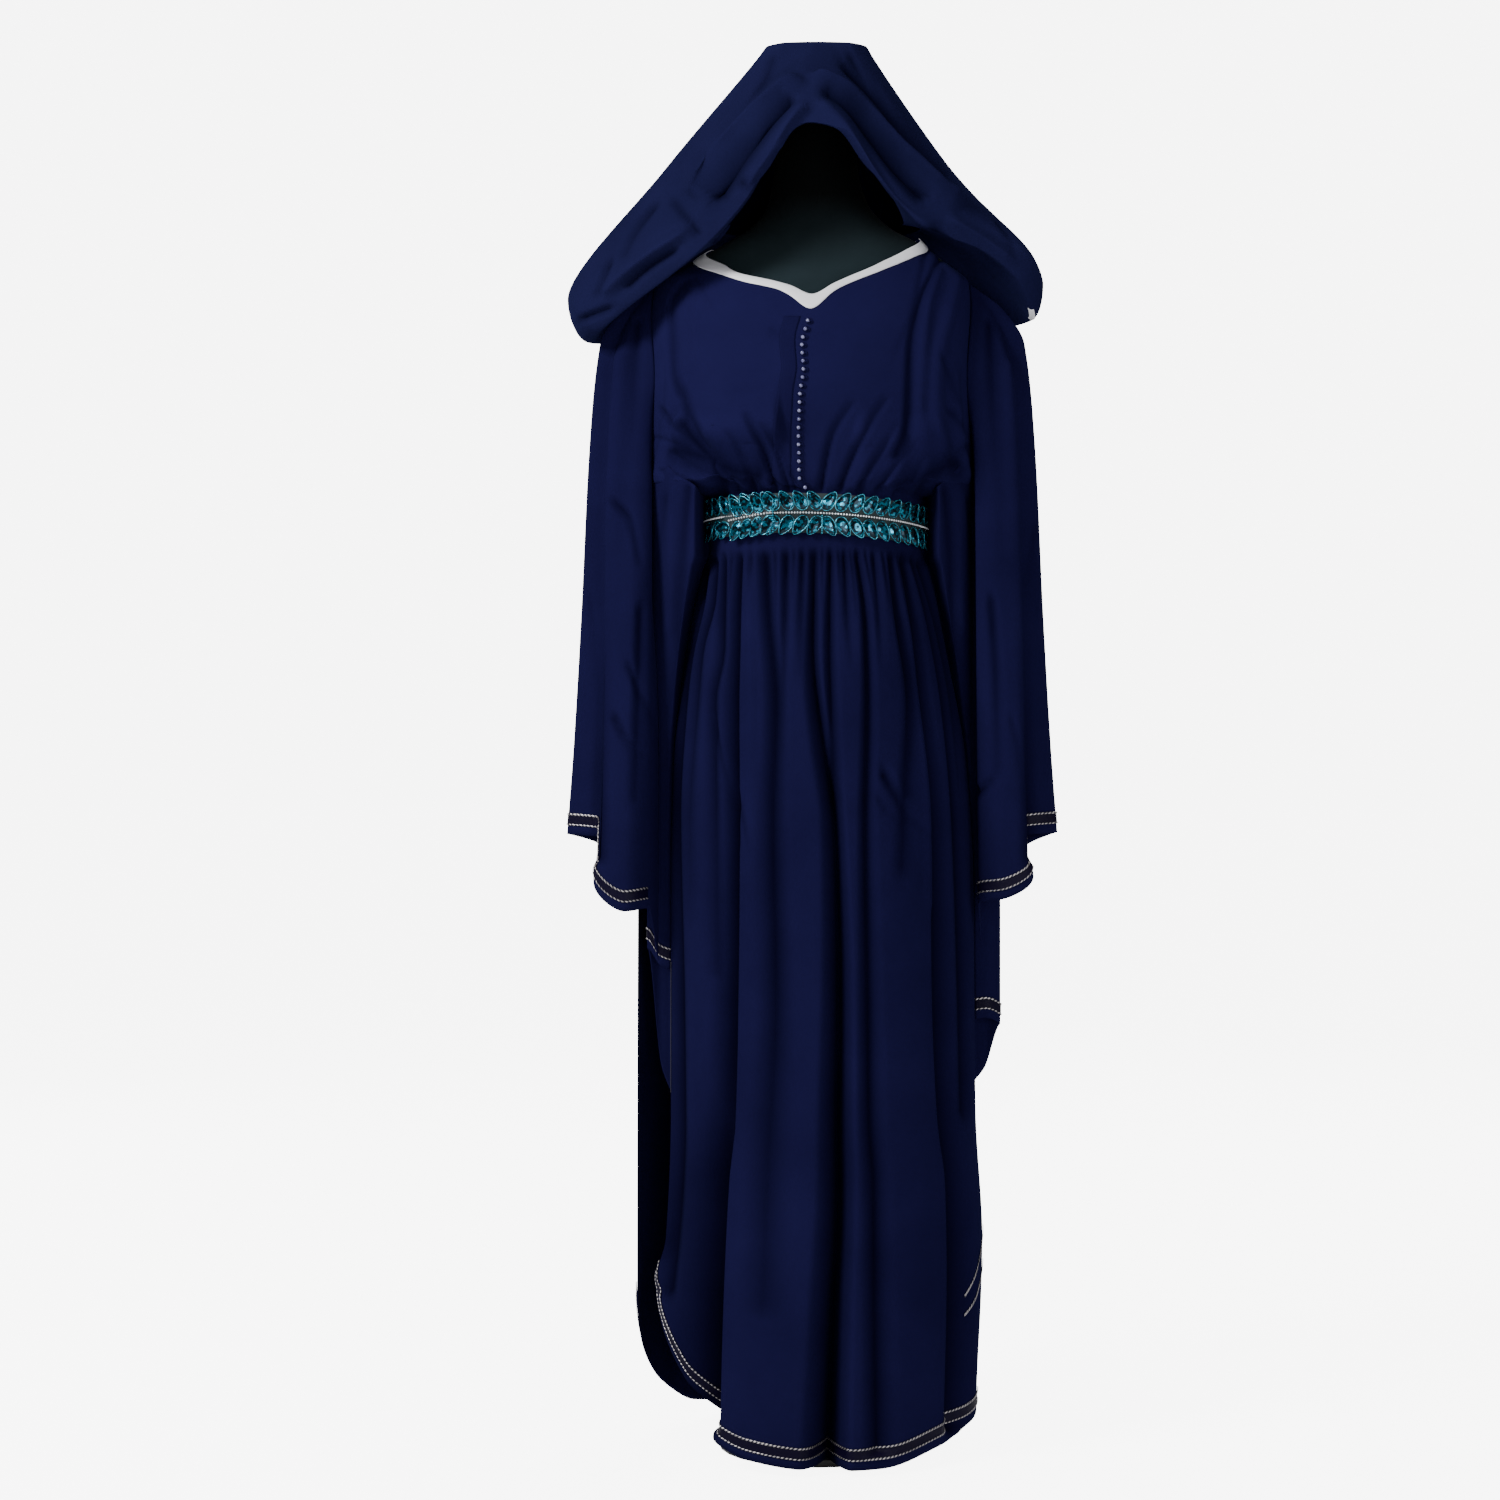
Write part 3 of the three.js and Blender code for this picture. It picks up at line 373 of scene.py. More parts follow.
# Each row: height at the path's start and end, half width at both, lean, then the path's x and z.
GATHERS = [
    (-2.6, -5.8, 10, 11, 0.2, (-151, 1382, -172, 1349, -169, 1271, -144, 1214, -117, 1151)),
    (2.5, 1.5, 12, 12, 0, (-138, 1376, -156, 1330, -152, 1262)),
    (-1.5, 0, 9, 9, 0, (-145, 1386, -129, 1355, -117, 1329)),
    (-7, -9, 24, 26, 0, (-158, 1212, -134, 1172, -104, 1122)),
    (-2.4, -1, 6, 7, 0, (-196, 1196, -166, 1183, -133, 1159)),
    (-2.6, -2.4, 6, 6, 0, (-189, 1156, -149, 1139, -126, 1127)),
    (0, -8.5, 9, 8, 0.3, (-129, 1190, -113, 1159, -90, 1122)),
    (-1, -9.5, 9, 8, 0.3, (-105, 1200, -88, 1165, -73, 1122)),
    (-2.5, -10.5, 10, 8, 0.3, (-84, 1220, -67, 1180, -48, 1122)),
    (-1.5, -9, 9, 7, 0.3, (-67, 1208, -48, 1172, -34, 1122)),
    (-1, -7.5, 8, 6, 0.2, (-52, 1197, -38, 1164, -25, 1122)), (-2, -7.2, 10, 7, -0.3, (44, 1230, 17, 1187, 3, 1122)),
    (-2, -7, 10, 7, -0.3, (83, 1235, 56, 1195, 38, 1157, 24, 1122)),
    (0, -5.8, 8, 6, -0.2, (135, 1180, 111, 1143, 86, 1120)),
    (-3.4, -7.2, 9, 12, 0.3, (150, 1415, 116, 1337, 107, 1293, 103, 1211, 87, 1160)),
    (-2.2, 0, 8, 10, 0, (132, 1425, 111, 1333, 91, 1284, 80, 1248)),
    (3, 2.5, 9, 12, 0, (146, 1400, 128, 1340, 122, 1270, 118, 1215)),
    (-3.2, -1, 8, 10, 0, (145, 1290, 157, 1258, 169, 1228)), (-4.5, 0, 9, 11, 0, (150, 1228, 172, 1206, 186, 1189)),
    (-6.5, -2.5, 9, 12, 0, (112, 1121, 143, 1154, 182, 1188)),
    (4.5, 1.5, 10, 12, 0, (122, 1112, 150, 1132, 184, 1157)), (-1.8, 0, 14, 18, 0, (-60, 1312, -20, 1300, 30, 1310)),
    (12, 15, 36, 44, 0, (-168, 1214, -110, 1198, -40, 1204)),
    (-6, -3, 12, 10, 0, (-176, 1176, -140, 1150, -104, 1134)),
    (-4.5, 0, 7, 9, 0, (-186, 1230, -160, 1196, -128, 1166)), (7, 5, 30, 34, 0, (40, 1196, 90, 1186, 150, 1200)),
    *alike((0, -6.7, 9, 7, -0.3), (99, 1213, 72, 1169, 46, 1122), (119, 1191, 91, 1154, 66, 1122))]

# Where the bodice hangs over the belt and keeps the light out: rows as in the table of creases, used for shade only.
OVERHANG = [
    (-7, -8, 40, 44, 0, (-176, 1180, -140, 1168, -104, 1152, -60, 1140)),
    (-5, -2, 30, 26, 0, (-60, 1134, -30, 1126, 10, 1122)), (-5, -7, 28, 34, 0, (84, 1130, 124, 1144, 172, 1166))]


def armhole(z):
    """How far the armhole opens the side of a panel, as a share of the way round: half a sine wave."""
    t = (z - UNDERARM) / (SHOULDER - UNDERARM)
    return np.where((t > 0) & (t < 1), 0.1 * np.sin(np.pi * np.clip(t, 0, 1)), 0)


def bodice(side, a, z, rise=0):
    """The bodice's outline at each height is half an ellipse, wide and deep as its table says, from the left
    armhole, a = 0, to the right one, a = 1; side is -1 in front and 1 behind."""
    gap = armhole(z)
    turn = np.pi * (gap + (1 - 2 * gap) * a)
    deep = BODICE("front" if side < 0 else "back", z)
    x = BODICE("middle", z) - (BODICE("wide", z) + rise) * np.cos(turn)
    y = side * (RIM * (1 - np.sin(turn) ** 2) + (deep + rise) * np.sin(turn))
    return np.stack([x, y, z + 0 * x], -1)


def bodice_form(side, top, binding, folds):
    """A bodice panel before its gathers. Rows run down from its neck edge: -1 to 0 under the binding, 0 to 1 down to
    the waist seam."""

    def at(a, v):
        band = binding("high", a)
        low = top("z", a) - band
        z = np.where(v < 0, low - band * v, low + (WAIST + SEAM - low) * np.maximum(v, 0))
        return bodice(side, a, z, folded(folds, a, z))

    return at


BODICE_SPANS = ((0, 1), (-1, 1))


def bodice_edge(side, a, v, p):
    """1 on a bodice panel and 0 at its seams, the neck and under the belt; side is the share that a seam takes."""
    sides = ease(0, 1, a / side) * ease(0, 1, (1 - a) / side)
    return sides * ease(WAIST + 18, WAIST + 32, p[..., 2]) * ease(-0.4, 0.06, v)


def bodice_front_rise(a, v, p):
    """Gathers push in and out, and keep well off the side seams below the armholes."""
    side = np.where(p[..., 2] < UNDERARM, 0.14, 0.035)
    return -creased(GATHERS, p) * bodice_edge(side, a, v, p)


# The panel's normals point inwards, so a crease that stands out has a negative move.
bodice_front_form = bodice_form(-1, NECKLINE, BINDING, BODICE_FOLDS)
bodice_front_at = moved(bodice_front_form, BODICE_SPANS, bodice_front_rise)
DOWN_FINE = spaced((-1, 0, 9), (0, 1, 190))
bodice_front = surface("bodice_front_cloth", bodice_front_at, np.linspace(0, 1, 200), DOWN_FINE, bodice_crepe,
                       dark=lambda u, v: in_troughs(GATHERS + OVERHANG, bodice_front_form(u, v)))
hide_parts("bodice_front")

# Back bodice panel. The same crepe with a shallow neck curve that the hood's seam covers; its gathers over the belt
# aren't in the photograph and are like the front's.
NAPE = Table("across z", (0, 1420), (0.3, 1430), (0.7, 1431), (1, 1434))
BACK_BINDING = Table("across high", (0, 11), (1, 11))
BACK_FOLDS = [
    (0.2, 0.16, GATHERED, 1300, 5, 0.06), (0.36, 0.34, GATHERED, 1240, 4, 0.05), (0.5, 0.5, GATHERED, 1220, 4, 0.05),
    (0.65, 0.67, GATHERED, 1250, 4, 0.05), (0.82, 0.86, GATHERED, 1310, 5, 0.06)]
BACK_GATHERS = [
    (0, -2.6, 9, 6, 0.2, (-128, 1205, -110, 1160, -92, 1122)), (0, -3, 9, 6, 0.2, (-98, 1230, -82, 1175, -70, 1122)),
    (0, -2.8, 8, 6, 0.2, (-66, 1190, -55, 1150, -47, 1122)), (0, -3, 9, 6, 0, (-34, 1215, -28, 1165, -22, 1122)),
    (0, -2.4, 7, 5, 0, (-2, 1180, 0, 1150, 3, 1122)), (0, -3.2, 9, 6, 0, (34, 1225, 30, 1170, 27, 1122)),
    (0, -2.6, 8, 6, -0.2, (62, 1192, 55, 1155, 50, 1122)), (0, -3, 9, 6, -0.2, (100, 1235, 84, 1175, 73, 1122)),
    (0, -2.6, 9, 6, -0.2, (130, 1200, 112, 1158, 96, 1122)), (-1.2, 0, 14, 20, 0, (-40, 1340, 0, 1325, 50, 1338)),
    *alike((-2, 0, 10, 14, 0), (-120, 1390, -130, 1330, -122, 1270), (130, 1395, 138, 1335, 128, 1280))]


def bodice_back_rise(a, v, p):
    """The gathers of the back."""
    return creased(BACK_GATHERS, p) * bodice_edge(0.04, a, v, p)


bodice_back_form = bodice_form(1, NAPE, BACK_BINDING, BACK_FOLDS)
bodice_back_at = moved(bodice_back_form, BODICE_SPANS, bodice_back_rise)
bodice_back = surface("bodice_back_cloth", bodice_back_at, np.linspace(0, 1, 140),
                      spaced((-1, 0, 7), (0, 1, 130)), bodice_crepe,
                      dark=lambda u, v: in_troughs(BACK_GATHERS, bodice_back_form(u, v)))
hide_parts("bodice_back")

# Neck binding. A strip of white satin folded over the neck edge, about 10 mm deep and 18 mm at the point in front,
# slightly padded, with small pulls where it turns; the back half goes on round under the hood.
SATIN = (0.86, 0.86, 0.90)
satin = cloth_material("white satin", SATIN, {"Specular IOR Level": 0.5, "Sheen Weight": 0.05},
                       Pitch=2600.0, Grain=0.2, Tone=0.04, Roughness=0.3)


BAND_OFF = 0.95


def padded_band(at, spans, sign):
    """A band laid on a panel: its middle face lies BAND_OFF mm from the panel's at its edges and further out between
    them, by a sine, with a few shallow pulls across it."""

    def rise(a, v, p):
        pulls = 0.12 * np.sin(210 * a) * np.sin(95 * a + 1.3)
        return sign * (BAND_OFF + (0.85 + pulls) * np.sin(np.pi * np.clip(v + 1, 0, 1)) ** 0.8)

    return moved(at, spans, rise)


BAND_ROWS = np.linspace(-1, 0, 13)
binding_front = surface("binding_front_satin", padded_band(bodice_front_at, BODICE_SPANS, -1),
                        np.linspace(0, 1, 180), BAND_ROWS, satin, thick=0.5)
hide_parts("binding_front")
binding_back = surface("binding_back_satin", padded_band(bodice_back_at, BODICE_SPANS, 1),
                       np.linspace(0, 1, 100), BAND_ROWS, satin, thick=0.5)
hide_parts("binding_back")

# Buttons. 21 pearl beads down the front, 9.5 mm apart in a slightly wavy line, drawn 4.5 mm wide as they look in
# the photograph. Each is held by a small cord loop from the left edge of the opening, which shows as a narrow lap
# beside them.
BEAD_SEEN = 4.5
BUTTON_COUNT, FIRST_BUTTON, LAST_BUTTON = 21, 1320, 1131
BUTTONS = Table("row across", (0, 0.49), (3, 0.476), (6, 0.479), (9, 0.471), (13, 0.47), (17, 0.474), (20, 0.476))
PEARL = (0.14, 0.14, 0.28)
pearl = clouded(plain_material("pearl", PEARL, {"Coat Weight": 0.8, "Coat Roughness": 0.05, "Specular IOR Level": 0.6}),
                160, (0.09, 0.09, 0.22), (0.20, 0.20, 0.36), (0.06, 0.14))


def mesh_object(name, points, faces, material, slot, smooth=True):
    """A mesh object from points in millimetres and faces of three or four corners."""
    mesh = bpy.data.meshes.new(name)
    mesh.from_pydata((np.asarray(points) / 1000).tolist(), [], [list(map(int, f)) for f in faces])
    mesh.polygons.foreach_set("use_smooth", np.full(len(mesh.polygons), smooth))
    return shown(name, mesh, material)


def many(points, faces, frames):
    """Copies of one small shape: each frame holds a place and three axes, and the shape's x, y and z go along them."""
    n = len(points)
    spots, axes = frames[:, 0], frames[:, 1:4]
    placed = spots[:, None] + np.einsum("pk,nkc->npc", np.asarray(points, float), axes)
    tall = max(len(f) for f in faces)
    rows = np.array([list(f) + [-1] * (tall - len(f)) for f in faces])
    stacked = np.where(rows < 0, -1, rows[None] + n * np.arange(len(frames))[:, None, None])
    return placed.reshape(-1, 3), [[c for c in f if c >= 0] for f in stacked.reshape(-1, tall).tolist()]


def ball(radius, around, up):
    """A closed ball: rings of latitude between two poles."""
    tilt = np.pi * np.arange(1, up) / up
    turn = 2 * np.pi * np.arange(around) / around
    rings = np.stack([np.outer(np.sin(tilt), np.cos(turn)), np.outer(np.sin(tilt), np.sin(turn)),
                      np.repeat(np.cos(tilt)[:, None], around, 1)], -1).reshape(-1, 3)
    points = np.concatenate([rings, [[0, 0, 1], [0, 0, -1]]]) * radius
    faces, last = [], (up - 2) * around
    for i in range(around):
        j = (i + 1) % around
        faces += [(len(points) - 2, i, j), (len(points) - 1, last + j, last + i)]
        faces += [(k * around + i, (k + 1) * around + i, (k + 1) * around + j, k * around + j) for k in range(up - 2)]
    return points, faces


def on_bodice(across, height):
    """The point of the front panel at a share across and a height, and its normal outwards."""
    top = NECKLINE("z", across) - BINDING("high", across)
    v = np.clip((top - height) / (top - WAIST - SEAM), 0, 1)
    return bodice_front_at(across, v), -facing(bodice_front_at, across, v, BODICE_SPANS)


def button_frames():
    """Where each button sits: a share across and a height on the front panel, with the panel's normal outwards."""
    k = np.arange(BUTTON_COUNT)
    across = BUTTONS("across", k)
    height = FIRST_BUTTON + (LAST_BUTTON - FIRST_BUTTON) * k / (BUTTON_COUNT - 1)
    seat, out = on_bodice(across, height)
    side = np.cross([0, 0, 1.0], -out)
    side /= np.linalg.norm(side, axis=-1, keepdims=True)
    return seat, out, side, np.cross(side, out)


seat, out, side, up = button_frames()
frames = np.stack([seat + out * (CLOTH / 2 + 0.2 + BEAD_SEEN / 2), side, up, out], 1)
pearls = mesh_object("pearl_buttons", *many(*ball(BEAD_SEEN / 2, 16, 10), frames), pearl, "pearl")
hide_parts(*[f"button_{k:02d}" for k in range(1, BUTTON_COUNT + 1)])

LOOP_WIRE, LOOP_WIDE = 0.7, 3.7


def ring_tube(path, thick, sides=6):
    """A closed tube round a flat closed path of x, y points: thick is its radius."""
    n = len(path)
    lead = np.roll(path, -1, 0) - np.roll(path, 1, 0)
    lead /= np.linalg.norm(lead, axis=-1, keepdims=True)
    outwards = np.stack([lead[:, 1], -lead[:, 0], np.zeros(n)], -1)
    turn = 2 * np.pi * np.arange(sides) / sides
    base = np.concatenate([path, np.zeros((n, 1))], 1)
    points = base[:, None] + thick * (np.cos(turn)[None, :, None] * outwards[:, None]
                                      + np.sin(turn)[None, :, None] * np.array([0, 0, 1.0]))
    faces = [(i * sides + j, i1 * sides + j, i1 * sides + (j + 1) % sides, i * sides + (j + 1) % sides)
             for i, i1 in zip(range(n), [*range(1, n), 0]) for j in range(sides)]
    return points.reshape(-1, 3), faces


turn = 2 * np.pi * np.arange(18) / 18
loop_path = np.stack([LOOP_WIDE * np.cos(turn) - 1.6, (LOOP_WIDE - 0.5) * np.sin(turn)], -1)
loops = mesh_object("button_loops", *many(*ring_tube(loop_path, LOOP_WIRE), np.stack(
    [seat + out * (CLOTH / 2 + LOOP_WIRE + 0.1), side, up, out], 1)), crepe, "cloth")

LAP_FROM, LAP_WIDE, PANEL_WIDE = 3, 7, 190


def lap_at(u, v):
    """The lap of the front opening: a strip 7 mm wide on the panel, from 3 mm to 10 mm left of the buttons' line,
    rounded across by a sine."""
    across = BUTTONS("across", v * (BUTTON_COUNT - 1)) - (LAP_FROM + LAP_WIDE * u) / PANEL_WIDE
    height = FIRST_BUTTON + 6 + (LAST_BUTTON - FIRST_BUTTON - 8) * v
    seat, out = on_bodice(across, height)
    return seat + out * (CLOTH / 2 + 0.35 + 0.5 * np.sin(np.pi * u))[..., None]


lap = surface("button_lap", lap_at, np.linspace(0, 1, 9), np.linspace(0, 1, 90), crepe, thick=0.5)

# Front skirt panel. Crepe gathered into the waist seam and hanging free to the floor; a deep fold runs down a little
# right of the middle, a second one left of it, and small gathers fan out under the belt.
HEM_PLAIN, TRIM = 12, 18
SKIRT_FRONT = Table("z left right deep off",
    (6, -190, 190, 146, 8), (43, -190, 190, 147, 8), (195, -190, 196, 149, 8), (247, -178, 197, 149, 8),
    (399, -172, 189, 148, 8), (678, -172, 186, 143, 8), (808, -169, 178, 136, 8), (939, -154, 155, 122, 6),
    (1040, -134, 134, 99, 2), (1060, -126, 126, 94.5, 1.2), (WAIST, -125, 125, 93, RIM))
HEM_FRONT = Table("across z",
    (0, 196), (0.06, 160), (0.13, 118), (0.2, 76), (0.26, 40), (0.36, 17), (0.5, 9), (0.62, 8), (0.75, 22),
    (0.88, 34), (1, 46))
FRONT_SWELL, WAIST_PUFF = 9, 5
SKIRT_CREASES = [
    (-9, -12, 8, 17, 0.2,
     (-132, 1056, -138, 1003, -152, 944, -160, 885, -169, 744, -165, 534, -164, 394, -167, 324, -182, 181)),
    (-9, 0, 8, 14, 0, (-121, 1058, -124, 1002, -138, 943, -143, 884, -151, 745, -148, 605)),
    (-9, -4, 8, 18, 0, (-111, 1060, -112, 1001, -113, 942, -123, 884, -121, 745, -119, 560)),
    (-10.5, -44, 10, 28, -0.3,
     (-91, 1060, -94, 1000, -96, 942, -98, 884, -99, 746, -103, 539, -108, 401, -116, 332, -124, 194, -130, 40)),
    (0, -26, 26, 50, -0.6, (-112, 480, -124, 300, -134, 194, -140, 10)),
    (-12, -4, 12, 36, 0.1, (-63, 1060, -59, 976, -51, 883, -55, 746, -51, 541, -61, 336, -65, 180)),
    (-9, 0, 8, 11, 0, (-37, 1062, -39, 976, -44, 883, -49, 800)),
    (-10.5, -64, 10, 32, -0.3, (-3, 1062, -6, 941, 5, 837, 20, 746, 26, 541, 25, 405, 26, 337, 21, 201, 17, 75, 15, 0)),
    (-9, -8, 8, 14, 0, (15, 1062, 13, 941, 15, 860, 18, 756)),
    (-10.5, -8, 8, 26, 0.1, (45, 1062, 55, 976, 57, 883, 54, 746, 57, 541, 59, 404, 64, 336, 65, 199, 68, 20)),
    (-7.5, 0, 8, 10, 0, (65, 1060, 70, 1000, 73, 915)),
    (-10.5, -4, 8, 20, 0.2, (85, 1060, 94, 977, 106, 884, 100, 769, 96, 680)),
    (-10.5, -20, 8, 24, 0.2,
     (100, 1060, 112, 977, 123, 884, 137, 745, 141, 537, 149, 397, 159, 326, 162, 187, 160, 30)),
    (-9, -7, 8, 14, 0, (112, 1058, 133, 979, 150, 885, 163, 744, 170, 533, 173, 392)),
    (-7.5, 0, 6.9, 10, 0, (120, 1056, 142, 980, 160, 885, 171, 743, 176, 601)),
    (3, 2, 8, 14, 0, (106, 1040, 118, 930, 128, 800, 132, 640)),
    (3, 3, 9, 14, 0, (-80, 1040, -78, 930, -78, 760, -80, 560)),
    (-5.4, -1, 7, 11, 0.3, (-128, 872, -107, 783, -88, 708)), (-5.4, 0, 6, 9, 0.3, (-98, 783, -88, 746, -76, 698)),
    (-2, 0, 6, 8, 0, (-107, 411, -96, 387, -85, 369)), (-7.5, -0.5, 9.2, 9, 0, (70, 806, 100, 757, 134, 716)),
    (-4.3, 0, 7, 9, 0, (60, 780, 82, 752, 110, 730)), (2.6, 0, 8, 9, 0, (84, 800, 106, 766, 130, 736)),
    *alike((-9, 0, 8, 10, 0), (-18, 1062, -20, 976, -22, 890), (31, 1062, 34, 987, 39, 915)),
    *alike((-4.9, 0, 5, 7, 0), (-101, 1062, -103, 1030, -106, 980), (-78, 1062, -78, 1036, -80, 1000),
           (-50, 1062, -50, 1022, -48, 965), (6, 1062, 5, 1030, 3, 980), (38, 1062, 41, 1030, 45, 975),
           (55, 1062, 60, 1030, 65, 985)),
    *alike((-4.6, 0, 5, 7, 0), (-27, 1062, -28, 1034, -30, 990), (24, 1062, 25, 1038, 26, 1000),
           (76, 1060, 81, 1024, 87, 975), (94, 1060, 101, 1020, 108, 965))]


def skirt(side, rows, a, z, swell=0):
    """The skirt's outline at each height: a flattened half ellipse from its left free edge, a = 0, to its right one,
    fuller at its corners lower down."""
    left, right = rows("left", z), rows("right", z)
    spread = 1.25 - 0.25 * ease(800, 1060, z)
    x = (left + right) / 2 - (right - left) / 2 * np.cos(np.pi * a)
    deep = rows("deep", z) + swell
    y = side * (rows("off", z) + deep * np.sin(np.pi * np.clip(a, 0, 1)) ** spread)
    return np.stack([x, y, z + 0 * x], -1)


def hang(top, bottom, v):
    """Heights down a hanging piece: 0 to 1 to the trim band, 1 to 2 across it, 2 to 3 to the edge."""
    plain = bottom + HEM_PLAIN
    body = top + (plain + TRIM - top) * np.clip(v, 0, 1)
    return body - TRIM * np.clip(v - 1, 0, 1) - HEM_PLAIN * np.clip(v - 2, 0, 1)


def skirt_front_form(a, v):
    """The front panel before its creases: it puffs out under the belt and swells out a little more below, and they
    press back in."""
    z = hang(WAIST - SEAM, HEM_FRONT("z", a), v)
    return skirt(-1, SKIRT_FRONT, a, z, FRONT_SWELL * ease(1056, 900, z) + WAIST_PUFF * ease(1066, 1046, z))


def skirt_front_rise(a, v, p):
    """Creases, less at the free edges and none under the belt."""
    edge = ease(0, 0.06, a) * ease(1, 0.94, a) * ease(1066, 1052, p[..., 2])
    return -creased(SKIRT_CREASES, p) * edge


SKIRT_SPANS, HEM_ROWS = ((0, 1), (0, 3)), [1.5, 2, 2.5, 3]
skirt_front_at = moved(skirt_front_form, SKIRT_SPANS, skirt_front_rise)
FALL_FINE = spaced((0, 0.2, 70), (0.2, 1, 90), after=HEM_ROWS)
skirt_front = surface("skirt_front_cloth", skirt_front_at, np.linspace(0, 1, 230), FALL_FINE, crepe,
                      dark=lambda u, v: in_troughs(SKIRT_CREASES, skirt_front_form(u, v)))
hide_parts("skirt_front")

# Back skirt panel. The same crepe, cut a little longer at the sides, so it shows behind the front panel's corners;
# its folds aren't in the photograph and fall like the front's.
SKIRT_BACK = Table("z left right deep off",
    (6, -204, 186, 168, 15), (170, -213, 192, 166, 15), (640, -212, 186, 152, 15), (760, -190, 176, 146, 14),
    (939, -153, 153, 128, 9), (1040, -134, 134, 94, 2), (1060, -126, 126, 89.5, 1.2), (WAIST, -125, 125, 88, RIM))
HEM_BACK = Table("across z", (0, 166), (0.07, 104), (0.15, 60), (0.25, 26), (0.5, 12), (0.8, 16), (1, 52))
BACK_SKIRT_FOLDS = [
    (0.08, 0.1, -120, 1058, 10, 0.055), (0.2, 0.2, -200, 1058, 13, 0.06), (0.32, 0.31, 200, 1056, 10, 0.05),
    (0.42, 0.41, -200, 1058, 14, 0.06), (0.55, 0.52, -160, 1058, 13, 0.06), (0.66, 0.64, 260, 1056, 9, 0.045),
    (0.76, 0.77, -200, 1058, 14, 0.06), (0.9, 0.89, -100, 1058, 9, 0.05)]
BACK_CREASES = [
    (-3, -6, 6, 20, 0.2, (-118, 1058, -126, 980, -140, 860, -150, 640, -158, 380, -160, 60)),
    (-3, 0, 6, 14, 0, (-100, 1060, -106, 980, -112, 880, -116, 760)),
    (-3.5, -5, 6, 24, 0, (-80, 1062, -84, 960, -92, 820, -104, 560, -112, 240, -114, 20)),
    (-3.5, 0, 6, 20, 0, (-42, 1062, -44, 940, -50, 760, -56, 560)),
    (-3.5, -7, 6, 26, 0, (-4, 1062, -6, 940, -10, 760, -14, 460, -12, 120, -12, 10)),
    (-3.5, 0, 6, 18, 0, (36, 1062, 38, 960, 44, 800, 50, 640)),
    (-3.5, -6, 6, 24, 0, (78, 1062, 84, 950, 94, 800, 106, 560, 112, 260, 112, 20)),
    (-3, -5, 6, 18, -0.2, (116, 1058, 128, 970, 142, 840, 150, 600, 156, 320, 156, 60)),
    (-2.4, 0, 7, 9, 0, (60, 700, 84, 660, 100, 610)), (-2, 0, 7, 9, 0, (-96, 640, -76, 600, -66, 550)),
    *alike((-3, 0, 6, 12, 0), (-60, 1062, -62, 990, -66, 900), (16, 1062, 17, 990, 20, 890),
           (98, 1060, 106, 980, 116, 880)),
    *alike((-3, 0, 6, 10, 0), (-22, 1062, -22, 1000, -24, 930), (56, 1062, 59, 1000, 64, 920)),
    *alike((-2.2, 0, 5, 7, 0), (-70, 1062, -72, 1030, -75, 990), (-32, 1062, -33, 1030, -34, 985),
           (6, 1062, 6, 1030, 5, 990), (46, 1062, 48, 1030, 50, 990), (88, 1062, 92, 1030, 97, 990))]


def skirt_back_form(a, v):
    """The back panel with its main folds, which swell out of the same half ellipse."""
    z = hang(WAIST - SEAM, HEM_BACK("z", a), v)
    return skirt(1, SKIRT_BACK, a, z, folded(BACK_SKIRT_FOLDS, a, z))


def skirt_back_rise(a, v, p):
    """Creases, less at the free edges and none under the belt."""
    edge = ease(0, 0.03, a) * ease(1, 0.97, a) * ease(1068, 1058, p[..., 2])
    return creased(BACK_CREASES, p) * edge


skirt_back_at = moved(skirt_back_form, SKIRT_SPANS, skirt_back_rise)
skirt_back = surface("skirt_back_cloth", skirt_back_at, np.linspace(0, 1, 160), FALL_FINE, crepe,
                     dark=lambda u, v: in_troughs(BACK_CREASES, skirt_back_form(u, v)))
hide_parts("skirt_back")

# Skirt trims. A dark satin ribbon that shows about 14 mm deep, sewn on 11 mm above each hem, with a narrow braid of
# silver-gold thread along both its edges; a thin braid also runs up the left free edge, and two cross the right one.
RIBBON = (0.0032, 0.0015, 0.013)
ribbon = cloth_material("dark ribbon", RIBBON, {"Specular IOR Level": 0.08}, Pitch=2200.0, Grain=0.2, Tone=0.1,
                        Roughness=0.36)
THREAD = (0.42, 0.36, 0.32)


def braid_material():
    """Metallic thread: slanting turns along the uv, dark between them, over a pale silver-gold."""
    made = plain_material("metallic braid", THREAD, {"Metallic": 0.85, "Specular IOR Level": 0.5})
    tree = made.node_tree
    place = node(tree, "ShaderNodeTexCoord").outputs
    turns = node(tree, "ShaderNodeTexWave", {"Vector": place["UV"], "Scale": 130.0, "Distortion": 1.2, "Detail": 1.0},
                 bands_direction="DIAGONAL").outputs["Fac"]
    lit = maths(tree, "MULTIPLY", turns, noise(tree, place["Object"], Scale=28.0, Detail=3.0))
    bump = node(tree, "ShaderNodeBump", {"Strength": 0.6, "Distance": 0.0003, "Height": turns})
    return feed(made, {"Base Color": ramp(tree, lit, (0.08, (0.03, 0.03, 0.05)), (0.5, (0.62, 0.58, 0.58))),
                       "Roughness": ranged(tree, turns, 0.0, 1.0, 0.28, 0.5), "Normal": bump.outputs["Normal"]})


braid = braid_material()
# A braid's width and height in mm, the part of the panel's rows that the trim covers, and how far it lies off them.
BRAID_WIDE, BRAID_RISE = 2.4, 0.55
TRIM_SPAN = (1.28, 2.1)
RIBBON_OFF, BRAID_OFF = 0.95, 1.45


